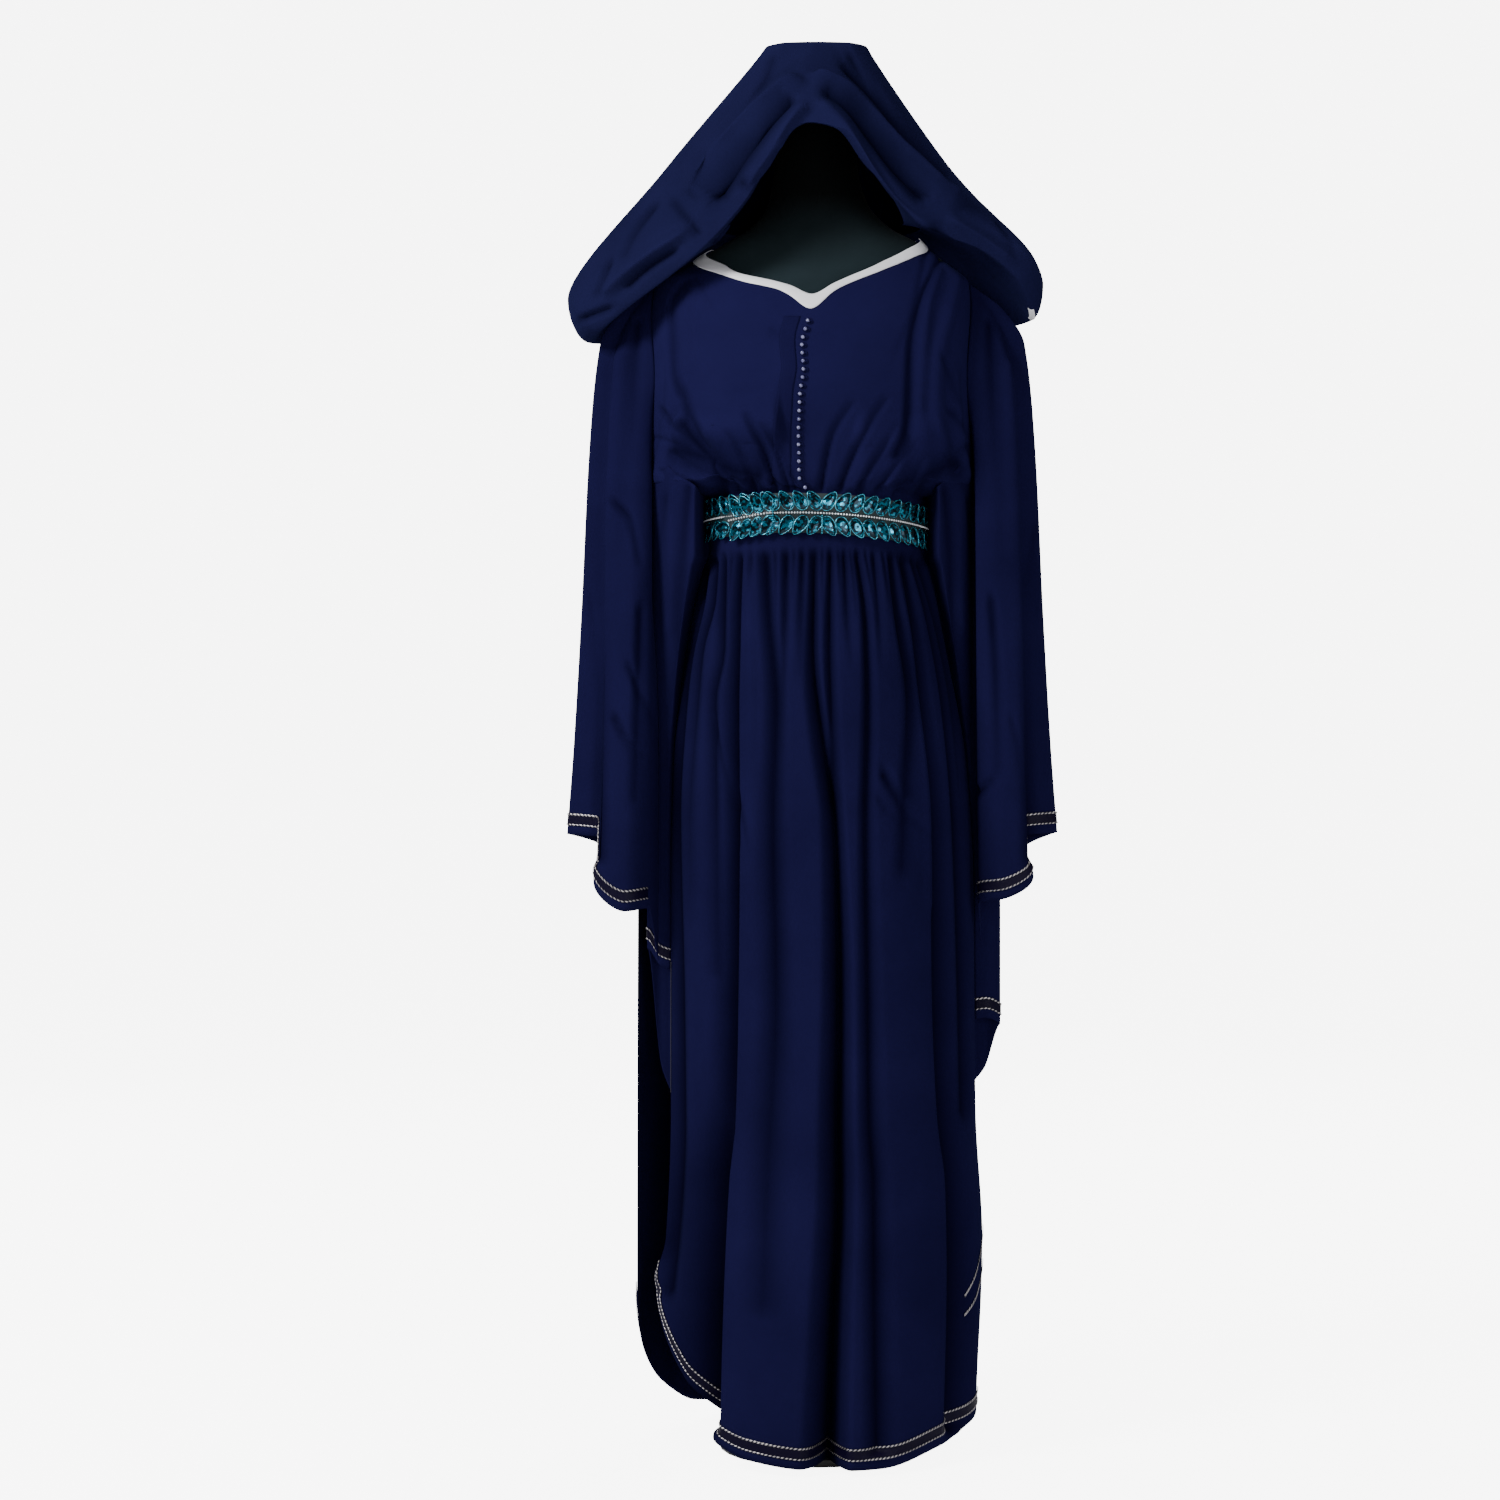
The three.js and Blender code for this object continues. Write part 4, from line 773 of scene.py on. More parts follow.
def trimmed(name, at, sign, us):
    """The ribbon and its two braids on a hem: the panel's own points between two of its rows, moved out. A braid is
    a narrow rounded strip along each edge of the ribbon."""
    low, high = TRIM_SPAN
    edge = BRAID_WIDE / TRIM
    flat = moved(at, SKIRT_SPANS, lambda u, v, p: sign * (RIBBON_OFF + 0 * u))
    made = [surface(f"{name}_ribbon", flat, us, np.linspace(low, high, 7), ribbon, thick=0.5)]
    for label, start in (("upper", low), ("lower", high - edge)):
        proud = moved(at, SKIRT_SPANS, lambda u, v, p, start=start: sign * (
            BRAID_OFF + BRAID_RISE * np.sin(np.pi * np.clip((v - start) / edge, 0, 1)) ** 0.7))
        made.append(surface(f"{name}_{label}_braid", proud, us, np.linspace(start, start + edge, 5), braid, thick=0.3))
    return made


trim_front = trimmed("skirt_front", skirt_front_at, -1, np.linspace(0, 1, 230))
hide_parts("trim_front")
trim_back = trimmed("skirt_back", skirt_back_at, 1, np.linspace(0, 1, 190))
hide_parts("trim_back")

# A braid's path on the front panel, as shares across and heights.
EDGE_BRAIDS = {
    "left_edge_braid": Table("way across z", (0, 0.02, 575), (0.5, 0.02, 500), (1, 0.02, 420)),
    "right_upper_braid": Table("way across z", (0, 0.985, 262), (0.5, 0.92, 228), (1, 0.855, 188)),
    "right_lower_braid": Table("way across z", (0, 0.985, 222), (0.5, 0.92, 193), (1, 0.858, 165))}
THIN_SHARE = 0.0009
dim_thread = cloth_material("dim thread", (0.030, 0.030, 0.042), {"Specular IOR Level": 0.2}, Pitch=2400.0,
                            Roughness=0.5)
for name, path in EDGE_BRAIDS.items():
    thin = name.startswith("left")

    def on_panel(u, v, path=path, thin=thin):
        """A strip along a path on the front panel, rounded across: thin up the left edge, 4 mm wide at the right."""
        across, z = path("across", u), path("z", u)
        across, z = (across + v * THIN_SHARE, z) if thin else (across, z + v * BRAID_WIDE * 0.8)
        top, low = WAIST - SEAM, HEM_FRONT("z", across) + HEM_PLAIN + TRIM
        w = np.clip((top - z) / (top - low), 0, 1)
        lift = -(1.0 + BRAID_RISE * (1 - v * v))
        return skirt_front_at(across, w) + facing(skirt_front_at, across, w, SKIRT_SPANS) * lift[..., None]

    surface(name, on_panel, np.linspace(0, 1, 80), np.linspace(-1, 1, 5),
                               dim_thread if thin else braid, thick=0.3)

# Sleeves. Each butterfly sleeve is one wide piece of crepe, folded along its outer line and set into the armhole;
# its free lower edge falls in steps, the cuff highest at the outside, and carries the same ribbon and braids.
ARMHOLE_EASE = 0.6
SLEEVE_LEFT = Table("way x y z",
    (0, -187, -26, 577), (0.12, -200, -44, 640), (0.22, -226, -60, 637), (0.32, -262, -50, 671),
    (0.37, -261, -36, 716), (0.42, -262, -20, 723), (0.5, -296, 0, 726), (0.62, -262, 24, 715),
    (0.8, -238, 34, 690), (1, -219, 26, 640))
SLEEVE_RIGHT = Table("way x y z",
    (0, 194, -26, 600), (0.12, 190, -46, 646), (0.22, 220, -60, 652), (0.32, 254, -50, 678),
    (0.37, 252, -36, 718), (0.42, 253, -20, 725), (0.5, 287, 0, 728), (0.62, 258, 26, 715),
    (0.8, 228, 40, 690), (1, 196, 30, 650))
SPREAD = Table("fall wide", (0, 0), (0.05, 0.4), (0.11, 0.63), (0.3, 0.75), (0.6, 0.84), (0.85, 0.93), (1, 1))
LEFT_SLEEVE_CREASES = [
    (-6.5, -1.5, 8, 10, 0, (-245, 1124, -219, 1095, -206, 1040)),
    (-5.5, -2, 7, 9, 0, (-244, 870, -225, 841, -196, 815)), (-5, 0, 7, 8, 0, (-241, 873, -225, 841, -215, 812)),
    (-6, 0, 8, 10, 0, (-225, 932, -206, 893, -186, 847)),
    (0, -7.6, 12, 16, 0.2, (-246, 1040, -252, 900, -256, 780, -258, 690)),
    (-5.7, 0, 12, 16, 0, (-213, 1340, -216, 1240, -219, 1150)),
    (3.8, 1.9, 14, 18, 0, (-232, 1300, -238, 1180, -240, 1060)),
    (-4.8, -1.9, 10, 16, 0, (-206, 1000, -208, 900, -212, 760)),
    (-2, 0, 6, 11, 0, (-270, 1010, -262, 940, -258, 880))]
RIGHT_SLEEVE_CREASES = [
    (-6.6, -1.9, 9, 14, 0, (204, 1010, 211, 900, 212, 790)),
    (0, -7.6, 12, 16, -0.2, (244, 1000, 249, 880, 251, 780, 253, 690)),
    (-5.7, 0, 12, 16, 0, (206, 1340, 208, 1240, 212, 1150)), (3.8, 1.9, 14, 18, 0, (228, 1290, 232, 1170, 236, 1050)),
    (-7, 0, 8, 11, 0, (175, 769, 198, 785, 220, 812)), (-3.2, 0, 6, 12, 0, (262, 1100, 252, 1040, 240, 990)),
    (-2.8, 0, 6, 11, 0, (226, 870, 236, 830, 240, 780))]
HIDDEN_SLEEVE_CREASES = [
    (-2.5, -1, 10, 16, 0, (226, 1250, 234, 1050, 240, 850, 244, 700)),
    (-2, 0, 9, 14, 0, (206, 1120, 212, 960, 216, 820)), (2, 1, 12, 16, 0, (250, 1100, 256, 920, 262, 760))]


def sleeve_form(hand, rows):
    """A sleeve's round: s = 0 at its front inner edge, 0.5 at its outer fold, 1 at its back inner edge. Each column
    starts on the armhole and falls to its place in the table, spreading early and then hanging."""

    def at(s, v):
        high = UNDERARM + (SHOULDER - UNDERARM) * np.sin(np.pi * s) ** 0.8
        front, back = (bodice(side, float(hand > 0), high) for side in (-1, 1))
        side = np.clip((s - 0.47) / 0.06, 0, 1)
        start_x = front[..., 0] + hand * ARMHOLE_EASE
        start_y = front[..., 1] * (1 - side) + back[..., 1] * side
        foot = rows("z", s)
        z = hang(high, foot, v)
        fall = (high - z) / (high - foot)
        end = rows("x", s)
        inward = hand * (end - start_x) < 0
        out = np.where(inward, ease(UNDERARM - 14, UNDERARM - 300, z), SPREAD("wide", fall))
        x = start_x + (end - start_x) * out
        y = start_y + (rows("y", s) - start_y) * np.sqrt(np.clip(fall, 0, 1))
        return np.stack([x, y, z], -1)

    return at


def sleeve_rise(hand, creases):
    """Creases of the front layer by its own table, of the back layer by the hidden one; none near the seam."""

    def rise(s, v, p):
        front = creased(creases, p) * ease(0.5, 0.44, s) * ease(0, 0.05, s)
        back = creased(HIDDEN_SLEEVE_CREASES, p, hand) * ease(0.5, 0.56, s) * ease(1, 0.95, s)
        return -hand * (front + back) * ease(0, 0.04, v)

    return rise


SLEEVE_ROWS = spaced((0, 0.2, 40), (0.2, 1, 80), after=HEM_ROWS)
SLEEVE_ROUND = np.linspace(0, 1, 120)
TRIM_FROM = 0.11
for label, hand, rows, creases in (("left", -1, SLEEVE_LEFT, LEFT_SLEEVE_CREASES),
                                   ("right", 1, SLEEVE_RIGHT, RIGHT_SLEEVE_CREASES)):
    form = sleeve_form(hand, rows)
    at = moved(form, SKIRT_SPANS, sleeve_rise(hand, creases))
    surface(f"sleeve_{label}_cloth", at, SLEEVE_ROUND, SLEEVE_ROWS, crepe, dark=lambda s, v: np.where(
        s < 0.5, in_troughs(creases, form(s, v)), in_troughs(HIDDEN_SLEEVE_CREASES, form(s, v), hand)))
    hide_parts(f"sleeve_{label}")
    trims = trimmed(f"sleeve_{label}", at, -hand, SLEEVE_ROUND[SLEEVE_ROUND > TRIM_FROM])
    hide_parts(f"trim_sleeve_{label}")

# Side gussets. Folded strips of crepe below each underarm that carry the free edge from the sleeve to the skirt;
# the same ribbon and braids go on round their lower ends.
GUSSET_LEFT = Table("way y z", (0, -8, 564), (0.25, -9, 570), (0.5, 0, 590), (0.75, 9, 450), (1, 8, 409))
GUSSET_RIGHT = Table("way y z", (0, -6, 505), (0.25, -8, 508), (0.5, 0, 500), (0.75, 8, 448), (1, 8, 427))
SLIT_REACH = 4
WAIST_SIDE = 124
LOOSE_LEFT = {"below": 200.5, "above": 192}
LOOSE_RIGHT = {"below": 196, "above": 181}


def gusset_form(hand, rows):
    """A strip folded at its outer line, s = 0.5. Both inner lines reach into the slit between the skirt panels. Its
    head lies on the lower side of the bodice, higher toward the sleeve, and from there it falls free, settling back
    by a power of its fall."""
    loose = LOOSE_LEFT if hand < 0 else LOOSE_RIGHT

    def at(s, v):
        side = 1 - np.abs(2 * s - 1)
        head = 1126 + 48 * side**1.3
        foot = rows("z", s)
        z = hang(head, foot, v)
        edge = -SKIRT_FRONT("left", z) if hand < 0 else SKIRT_FRONT("right", z)
        fall = np.clip((UNDERARM - z) / (UNDERARM - foot), 0, 1)
        inner = edge - SLIT_REACH + (WAIST_SIDE - edge + SLIT_REACH) * ease(1044, 1062, z)
        outer = loose["below"] + (loose["above"] - loose["below"]) * ease(1115, 1160, z)
        outer = outer + (0 if hand < 0 else 23 * ease(0.08, 0.75, fall))
        x = hand * (inner + (outer - inner) * side)
        high = np.maximum(z, UNDERARM)
        share = (x - BODICE("middle", high)) / BODICE("wide", high)
        depth = np.where(s < 0.5, BODICE("front", high), BODICE("back", high))
        lying = (depth * np.sqrt(np.clip(1 - share * share, 0, 1)) + 2.2) * ease(0.08, 0.26, side)
        foot_y = rows("y", s) * np.sqrt(fall) * ease(0, 0.2, side)
        return np.stack([x, foot_y + np.where(s < 0.5, -1, 1) * lying * (1 - fall) ** 2.4, z], -1)

    return at


GUSSET_CREASES = [
    (-5, -2, 10, 14, 0, (150, 1140, 156, 1080, 160, 1000, 163, 880)),
    (3, 2, 9, 12, 0, (168, 1140, 172, 1060, 174, 960)), (-3, 0, 8, 10, 0, (178, 1130, 184, 1070, 186, 1000))]


def gusset_rise(hand):
    """Soft creases down the front layer, on both sides of the garment alike."""

    def rise(s, v, p):
        front = ease(0.5, 0.42, s) * ease(0.06, 0.14, s)
        return -hand * creased(GUSSET_CREASES, p, hand) * front

    return rise


GUSSET_ROUND = np.linspace(0, 1, 81)
GUSSET_ROWS = spaced((0, 1, 90), after=HEM_ROWS)
for label, hand, rows in (("left", -1, GUSSET_LEFT), ("right", 1, GUSSET_RIGHT)):
    form = gusset_form(hand, rows)
    at = moved(form, SKIRT_SPANS, gusset_rise(hand))
    strip = surface(f"gusset_{label}_cloth", at, GUSSET_ROUND, GUSSET_ROWS, crepe,
                    dark=lambda s, v: in_troughs(GUSSET_CREASES, form(s, v), hand) * (s < 0.5))
    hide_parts(f"gusset_{label}")
    trims = trimmed(f"gusset_{label}", at, -hand, GUSSET_ROUND)

# Hood. One big piece of crepe gathered up from the neck seam: it lies flat over the form's neck cap, slopes down to
# a pouch over each shoulder and turns in; two soft rolls run round the face opening, and its hem is white inside.
CAP_TOP = 1654
HOOD = Table("turn beamX beamZ bagX bagZ foldX foldZ",
    (-180, 0, 1560, 0, 1424, 0, 1352), (-135, -118, 1540, -208, 1400, -186, 1328),
    (-90, -180, 1516, -295, 1362, -271, 1312), (-72, -175, 1511, -287, 1358, -258, 1318),
    (-58, -163, 1497, -254, 1371, -224, 1342), (-45, -149, 1487, -206, 1399, -174, 1376),
    (-33, -127, 1492, -155, 1429, -133, 1407), (-20, -96, 1532, -104, 1482, -84, 1459),
    (-9, -55, 1582, -58, 1545, -42, 1529), (0, -17, 1612, -19, 1568, -10, 1547), (9, 21, 1603, 23, 1564, 27, 1539),
    (20, 58, 1567, 62, 1521, 62, 1496), (33, 94, 1529, 104, 1480, 98, 1455), (45, 118, 1515, 154, 1455, 140, 1427),
    (58, 135, 1516, 208, 1431, 196, 1408), (72, 147, 1521, 257, 1400, 242, 1373), (90, 154, 1525, 270, 1379, 258, 1340),
    (135, 112, 1540, 200, 1404, 180, 1336), (180, 0, 1560, 0, 1424, 0, 1352))
HOOD_REACH = {"beam": (92, 108), "bag": (122, 165), "fold": (124, 150)}
HOOD_TOP = CAP_TOP + SEAM + 0.6
HOOD_STATIONS = np.array([0, 1, 1.08, 2, 3, 3.7, 4.3, 5])
NECK_SEAM = 1446
HOOD_CREST = 0.7
HOOD_CREASES = [
    (13, 20, 24, 30, -0.25, (-20, 1606, -72, 1556, -112, 1512, -142, 1462)),
    (-12, -16, 17, 20, 0, (-30, 1580, -62, 1540, -92, 1502, -118, 1460)),
    (2.5, 4, 5, 6, 0, (-24, 1600, -72, 1556, -112, 1512, -142, 1462)),
    (2.5, 2.5, 5, 6, 0, (-13, 1572, -36, 1542, -56, 1508, -80, 1478)),
    (2.5, 3, 5, 7, 0, (-8, 1608, 16, 1598, 50, 1570, 72, 1546, 110, 1510, 143, 1480)),
    (7, 8, 14, 17, -0.2, (-13, 1572, -36, 1542, -56, 1508, -80, 1478)),
    (12, 13, 20, 26, -0.3, (-8, 1608, 16, 1598, 50, 1570, 72, 1546, 110, 1510, 143, 1480, 170, 1467)),
    (-11, -13, 15, 18, 0, (4, 1590, 36, 1566, 64, 1532, 94, 1496, 126, 1462)),
    (6.5, 7, 13, 16, -0.2, (2, 1572, 27, 1548, 46, 1520, 66, 1484, 92, 1450, 140, 1430)),
    (-7, -7, 12, 15, 0.2, (28, 1626, 66, 1590, 106, 1542, 154, 1498)),
    (-6.5, -3, 9, 7, 0, (-100, 1486, -82, 1477, -66, 1476)), (-3, -7, 9, 8, 0, (-172, 1474, -152, 1441, -136, 1416)),
    (7.5, 7, 12, 14, 0, (-150, 1426, -194, 1401, -228, 1378, -250, 1358)),
    (-6.5, -6.5, 10, 11, 0, (-160, 1407, -200, 1384, -226, 1362)),
    (-5.5, -3, 8, 9, 0, (-240, 1404, -251, 1375, -260, 1352)),
    (-6.5, -5, 8, 9, 0, (-284, 1330, -263, 1336, -236, 1343)),
    (-8, -5.5, 9, 10, 0, (126, 1434, 146, 1420, 160, 1404, 184, 1393, 217, 1382)),
    (6.5, 6, 11, 14, 0, (150, 1444, 190, 1424, 230, 1400)), (-4, 0, 10, 13, 0, (-50, 1644, -66, 1590, -84, 1560)),
    (5, 2, 12, 15, 0, (-60, 1606, -130, 1536, -190, 1474)),
    (-5.5, -2, 9, 11, 0, (-186, 1470, -214, 1430, -228, 1396)), (-5, -1, 9, 12, 0, (36, 1644, 60, 1606, 96, 1566)),
    (-5, 0, 8, 10, 0, (206, 1452, 226, 1424, 232, 1398))]
BACK_HOOD_CREASES = [
    (-3, -4, 14, 24, 0, (0, 1600, -4, 1510, -6, 1430, -4, 1360)),
    (2, 2, 12, 18, 0, (100, 1560, 150, 1480, 186, 1400)),
    *alike((-3, -4, 14, 22, 0), (-60, 1600, -96, 1520, -130, 1440, -140, 1370),
           (64, 1600, 98, 1520, 132, 1440, 142, 1370)),
    *alike((3, 3, 14, 22, 0), (-30, 1600, -52, 1520, -70, 1440, -74, 1370), (34, 1600, 56, 1520, 72, 1440, 76, 1370))]


def hood_form(turn, v):
    """Each direction round the neck has its own profile: from the flat cap over its edge down a slope to a roof
    beam, out to the bag, down to the lower fold, and in again, to the neck seam at the sides and back and to a
    turned-in edge in front. A smooth curve joins these eight places, and v runs along it."""
    turn = (turn + 180) % 360 - 180 + 0.0 * v
    angle = np.radians(turn)
    s, c = np.sin(angle), np.cos(angle)

    def ring(name):
        return np.stack([HOOD(name + "X", turn), -c * np.where(c > 0, *HOOD_REACH[name]), HOOD(name + "Z", turn)], -1)

    square = np.minimum(1 / np.maximum(np.abs(s), 0.01), 1 / np.maximum(np.abs(c), 0.01))
    corner = 0.4 + 0.6 * np.minimum(square, 1.2)
    cap = np.stack([62 * s * corner, -56 * c * corner, HOOD_TOP + 0 * s], -1)
    beam, bag, fold = ring("beam"), ring("bag"), ring("fold")
    seam = np.stack([124 * s, np.where(c > 0, -50 * c, -72 * c), NECK_SEAM + 0 * s], -1)
    k = ease(30, 56, np.abs(turn))[..., None]
    loose = np.stack([fold[..., 0] * 0.97, fold[..., 1] + 14, fold[..., 2] + 2], -1)
    tied = fold + (seam - fold) * np.array([0.45, 0.3, 0.62])
    under = loose + (tied - loose) * k
    turned_in = np.stack([fold[..., 0] * 0.9, fold[..., 1] + 30, fold[..., 2] + 16], -1)
    end = turned_in + (seam - turned_in) * k
    places = np.stack([cap * [0.3, 0.3, 1], cap, cap + (beam - cap) * 0.06, beam, bag, fold, under, end], 0)
    return through(HOOD_STATIONS, places, v + 0 * s)


def hood_rise(turn, v, p):
    """Rolls and creases of the front and the back, each on its own side, and none on the cap or under the fold."""
    front = ease(112, 80, np.abs(turn)) * creased(HOOD_CREASES, p, crest=HOOD_CREST)
    back = ease(100, 130, np.abs(turn)) * creased(BACK_HOOD_CREASES, p)
    return -(front + back) * ease(1.02, 1.3, v) * ease(4.1, 3.6, v)


HOOD_SPANS = ((-180, 180), (0, 5))
hood_at = moved(hood_form, HOOD_SPANS, hood_rise)
HOOD_TURNS = np.linspace(-180, 180, 281)[:-1]
HOOD_ROWS = np.concatenate([np.linspace(0, 0.95, 6), np.linspace(1, 1.1, 6), np.linspace(1.15, 5, 120)])


def hood_closed(turn, v):
    """The hood with its flat top drawn in to a point at the middle of the cap."""
    p = hood_at(turn, v)
    middle = np.array([0, 0, HOOD_TOP])
    return np.where((v <= 0)[..., None], middle + (p - middle) * 0.004, p)


# Painted light: the hood takes a lighter copy of the same crepe, for the light that falls on it from above.
HOOD_NAVY_PAINTED_LIGHT = (0.0086, 0.0090, 0.040)
hood_crepe = cloth_material("hood crepe", HOOD_NAVY_PAINTED_LIGHT, CREPE_SOCKETS, Tone=0.16, Roughness=0.72)
hood = surface("hood_cloth", hood_closed, HOOD_TURNS, HOOD_ROWS, hood_crepe, ring=True, dark=lambda u, v: np.where(
    np.abs(u) < 96, in_troughs(HOOD_CREASES, hood_form(u, v)), in_troughs(BACK_HOOD_CREASES, hood_form(u, v))))
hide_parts("hood")

LINING = (0.70, 0.70, 0.74)
lining = cloth_material("pale lining", LINING, {"Specular IOR Level": 0.3}, Pitch=1800.0, Tone=0.05, Roughness=0.6)


def lining_at(turn, v):
    """A glimpse of the pale lining under the right pouch, just inside the lower fold."""
    p = hood_at(turn, v)
    return p + facing(hood_at, turn, v, HOOD_SPANS) * -0.9


glimpse = surface("hood_lining", lining_at, np.linspace(83, 93, 16), np.linspace(3.62, 3.78, 8), lining, thick=0.3)

# Belt. A dark stretch band with two rows of slanting leaf-shaped glass stones in teal settings, which lean away from
# a point in front, a short upright line of small stones at that point, and a chain of white stones along the middle.
BELT_HIGH, BELT_BASE = 56, 2
BELT_SIDE, BELT_FRONT, BELT_BACK = 129, 99, 95
BELT_LIFT, BELT_SAG, BELT_PEAK = 7.5, 12, -40
CHAIN_PITCH, ROW_OFF = 3.3, 14.5
LEAVES = 44
LEAF_LONG, LEAF_WIDE = 25, 14
PART_AT = 4.5
BAND = (0.006, 0.018, 0.022)
GLASS_LOW, GLASS_HIGH = (0.0008, 0.014, 0.026), (0.02, 0.34, 0.52)
SETTING, SETTING_WIRE = (0.02, 0.18, 0.26), 0.6
SPARK = (0.90, 0.92, 0.95)
band_cloth = cloth_material("belt band", BAND, {"Specular IOR Level": 0.4}, Pitch=900.0, Roughness=0.5)
glass = plain_material("teal glass", GLASS_LOW, {"Metallic": 0.9, "Specular IOR Level": 0.5, "Coat Weight": 0.35,
                                                 "Coat Roughness": 0.03, "Roughness": 0.14})
# Painted sparkle: the glass's teal goes from cell to cell between dark and bright, the bright cells standing in for
# facets that catch the light.
facets = glass.node_tree
cells = node(facets, "ShaderNodeTexVoronoi", {"Vector": node(facets, "ShaderNodeTexCoord").outputs["Object"],
                                              "Scale": 330.0})
tone = node(facets, "ShaderNodeSeparateColor", {"Color": cells.outputs["Color"]})
feed(glass, {"Base Color": ramp(facets, tone.outputs["Red"], (0.5, GLASS_LOW), (0.95, GLASS_HIGH))})
setting = clouded(plain_material("teal setting", SETTING, {"Metallic": 0.75, "Coat Weight": 0.5}),
                  300, (0.010, 0.11, 0.18), (0.06, 0.42, 0.56), (0.18, 0.32))
spark = clouded(plain_material("white stones", SPARK, {"Metallic": 0.35, "Coat Weight": 1.0, "Coat Roughness": 0.02}),
                500, (0.70, 0.74, 0.80), (0.97, 0.98, 1.0), (0.05, 0.12))


def belt_ring(turn, out, z):
    """The belt's round: an ellipse, shallower behind, highest a little left of the middle and falling away to both
    sides."""
    x = (BELT_SIDE + out) * np.sin(turn)
    y = -(BELT_FRONT + out) * np.cos(turn) - np.where(np.cos(turn) < 0, (BELT_BACK - BELT_FRONT) * np.cos(turn), 0)
    return np.stack([x, y, z + BELT_LIFT - BELT_SAG * ((x - BELT_PEAK) / 165) ** 2], -1)


fine = np.linspace(-np.pi, np.pi, 2001)
ring_points = belt_ring(fine, 2.0, WAIST + 0 * fine)[:, :2]
ring_way = np.concatenate([[0], np.cumsum(np.linalg.norm(np.diff(ring_points, axis=0), axis=-1))])
ring_way -= ring_way[1000]


def belt_at(way, z, out):
    """A point of the belt by its distance round from the front, in mm, its height and how far it stands out."""
    turn = np.interp((way + ring_way[-1]) % (2 * ring_way[-1]) - ring_way[-1], ring_way, fine)
    return belt_ring(turn, out, z)


def belt_band(u, v):
    """The band itself, closed in section: outer face, edges and inner face, in four parts of v."""
    corner = np.array([[BELT_BASE, 1], [BELT_BASE, -1], [0.5, -1], [0.5, 1], [BELT_BASE, 1]])
    out = np.interp(v, np.arange(5), corner[:, 0])
    z = WAIST + np.interp(v, np.arange(5), corner[:, 1]) * (BELT_HIGH / 2 - 5)
    return belt_ring(u, out, z)


band = surface("belt_band", belt_band, np.linspace(-np.pi, np.pi, 181)[:-1], np.arange(5), band_cloth, thick=0,
               ring=True)
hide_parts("belt")


def belt_frames(way, z, lean, out):
    """Places and axes for shapes laid on the belt: x across the shape, y along it, z outwards; lean turns the shape
    from upright toward the right, in radians."""
    way, z, lean, out = np.broadcast_arrays(*np.atleast_1d(way, z, lean, out))
    spot = belt_at(way, z, out)
    ahead = belt_at(way + 0.5, z, out) - belt_at(way - 0.5, z, out)
    ahead /= np.linalg.norm(ahead, axis=-1, keepdims=True)
    normal = np.cross(ahead, [0, 0, 1.0])
    normal /= np.linalg.norm(normal, axis=-1, keepdims=True)
    tall = np.cross(normal, ahead)
    up = np.cos(lean)[:, None] * tall + np.sin(lean)[:, None] * ahead
    return np.stack([spot, np.cross(up, normal), up, normal], -2)


def leaf_outline(count, scale=1.0):
    """The outline of a leaf: pointed at the tip and rounder at the base."""
    t = 2 * np.pi * np.arange(count) / count
    y = np.cos(t)
    x = np.sin(t) * (1 - 0.28 * y) * np.sqrt(np.clip(1 - 0.22 * np.maximum(y, 0) ** 6, 0, 1))
    return np.stack([x * LEAF_WIDE / 2 * scale, y * LEAF_LONG / 2 * scale], -1)


def leaf_stone():
    """A faceted leaf-shaped stone: a girdle, a crown ring and a narrow table on a flat back."""
    n = 10
    rings = [np.c_[leaf_outline(n, 0.88), np.full(n, 0.0)], np.c_[leaf_outline(n, 0.88), np.full(n, 1.0)],
             np.c_[leaf_outline(n, 0.52), np.full(n, 2.6)]]
    points = np.concatenate([*rings, [[0, 0, 2.9]], [[0, 0, 0]]])
    faces = []
    for i in range(n):
        j = (i + 1) % n
        faces += [(i, i + n, j + n, j), (i + n, i + 2 * n, j + 2 * n, j + n), (i + 2 * n, 3 * n, j + 2 * n),
                  (i, j, 3 * n + 1)]
    return points, faces


def spark_stone():
    """A small cut stone: six sides, a bevel and a flat top."""
    t = np.pi / 3 * np.arange(6)
    rings = [np.c_[r * np.cos(t), r * np.sin(t), np.full(6, h)] for r, h in ((1.1, 0), (1.2, 0.6), (0.6, 1.3))]
    points = np.concatenate([*rings, [[0, 0, 0]]])
    faces = [tuple(range(12, 18))]
    for i in range(6):
        j = (i + 1) % 6
        faces += [(j, i, i + 6, j + 6)[::-1], (i + 6, j + 6, j + 12, i + 12), (18, j, i)]
    return points, faces


def in_stones(name, stone, frames, material):
    """Flat-faced stones of one shape at their frames."""
    mesh_object(name, *many(*stone, frames), material, "belt", smooth=False)


def in_settings(name, frames):
    """A wire setting round each leaf, a little above its back."""
    raised = frames.copy()
    raised[:, 0] += 0.8 * frames[:, 3]
    mesh_object(name, *many(*ring_tube(leaf_outline(18), SETTING_WIRE, 5), raised), setting, "belt")


half = LEAVES // 2
pitch = ring_way[-1] * 2 / LEAVES
k = np.arange(half)
LEAF_LEAN = 0.6
leaf_sets = []
for row in (1, -1):
    for hand in (1, -1):
        way = PART_AT + hand * (pitch * (k + 0.35) + 3)
        lean = hand * LEAF_LEAN * row + (np.pi if row < 0 else 0)
        leaf_sets.append(belt_frames(way, WAIST + row * ROW_OFF, lean, BELT_BASE + 0.3 + 0.25 * (k % 2)))
leaf_frames = np.concatenate(leaf_sets)
in_stones("belt_stones", leaf_stone(), leaf_frames, glass)
in_settings("belt_settings", leaf_frames)
way = np.arange(-ring_way[-1], ring_way[-1] - 1, CHAIN_PITCH)
in_stones("belt_chain", spark_stone(), belt_frames(way, WAIST, 0, BELT_BASE + 2.6), spark)
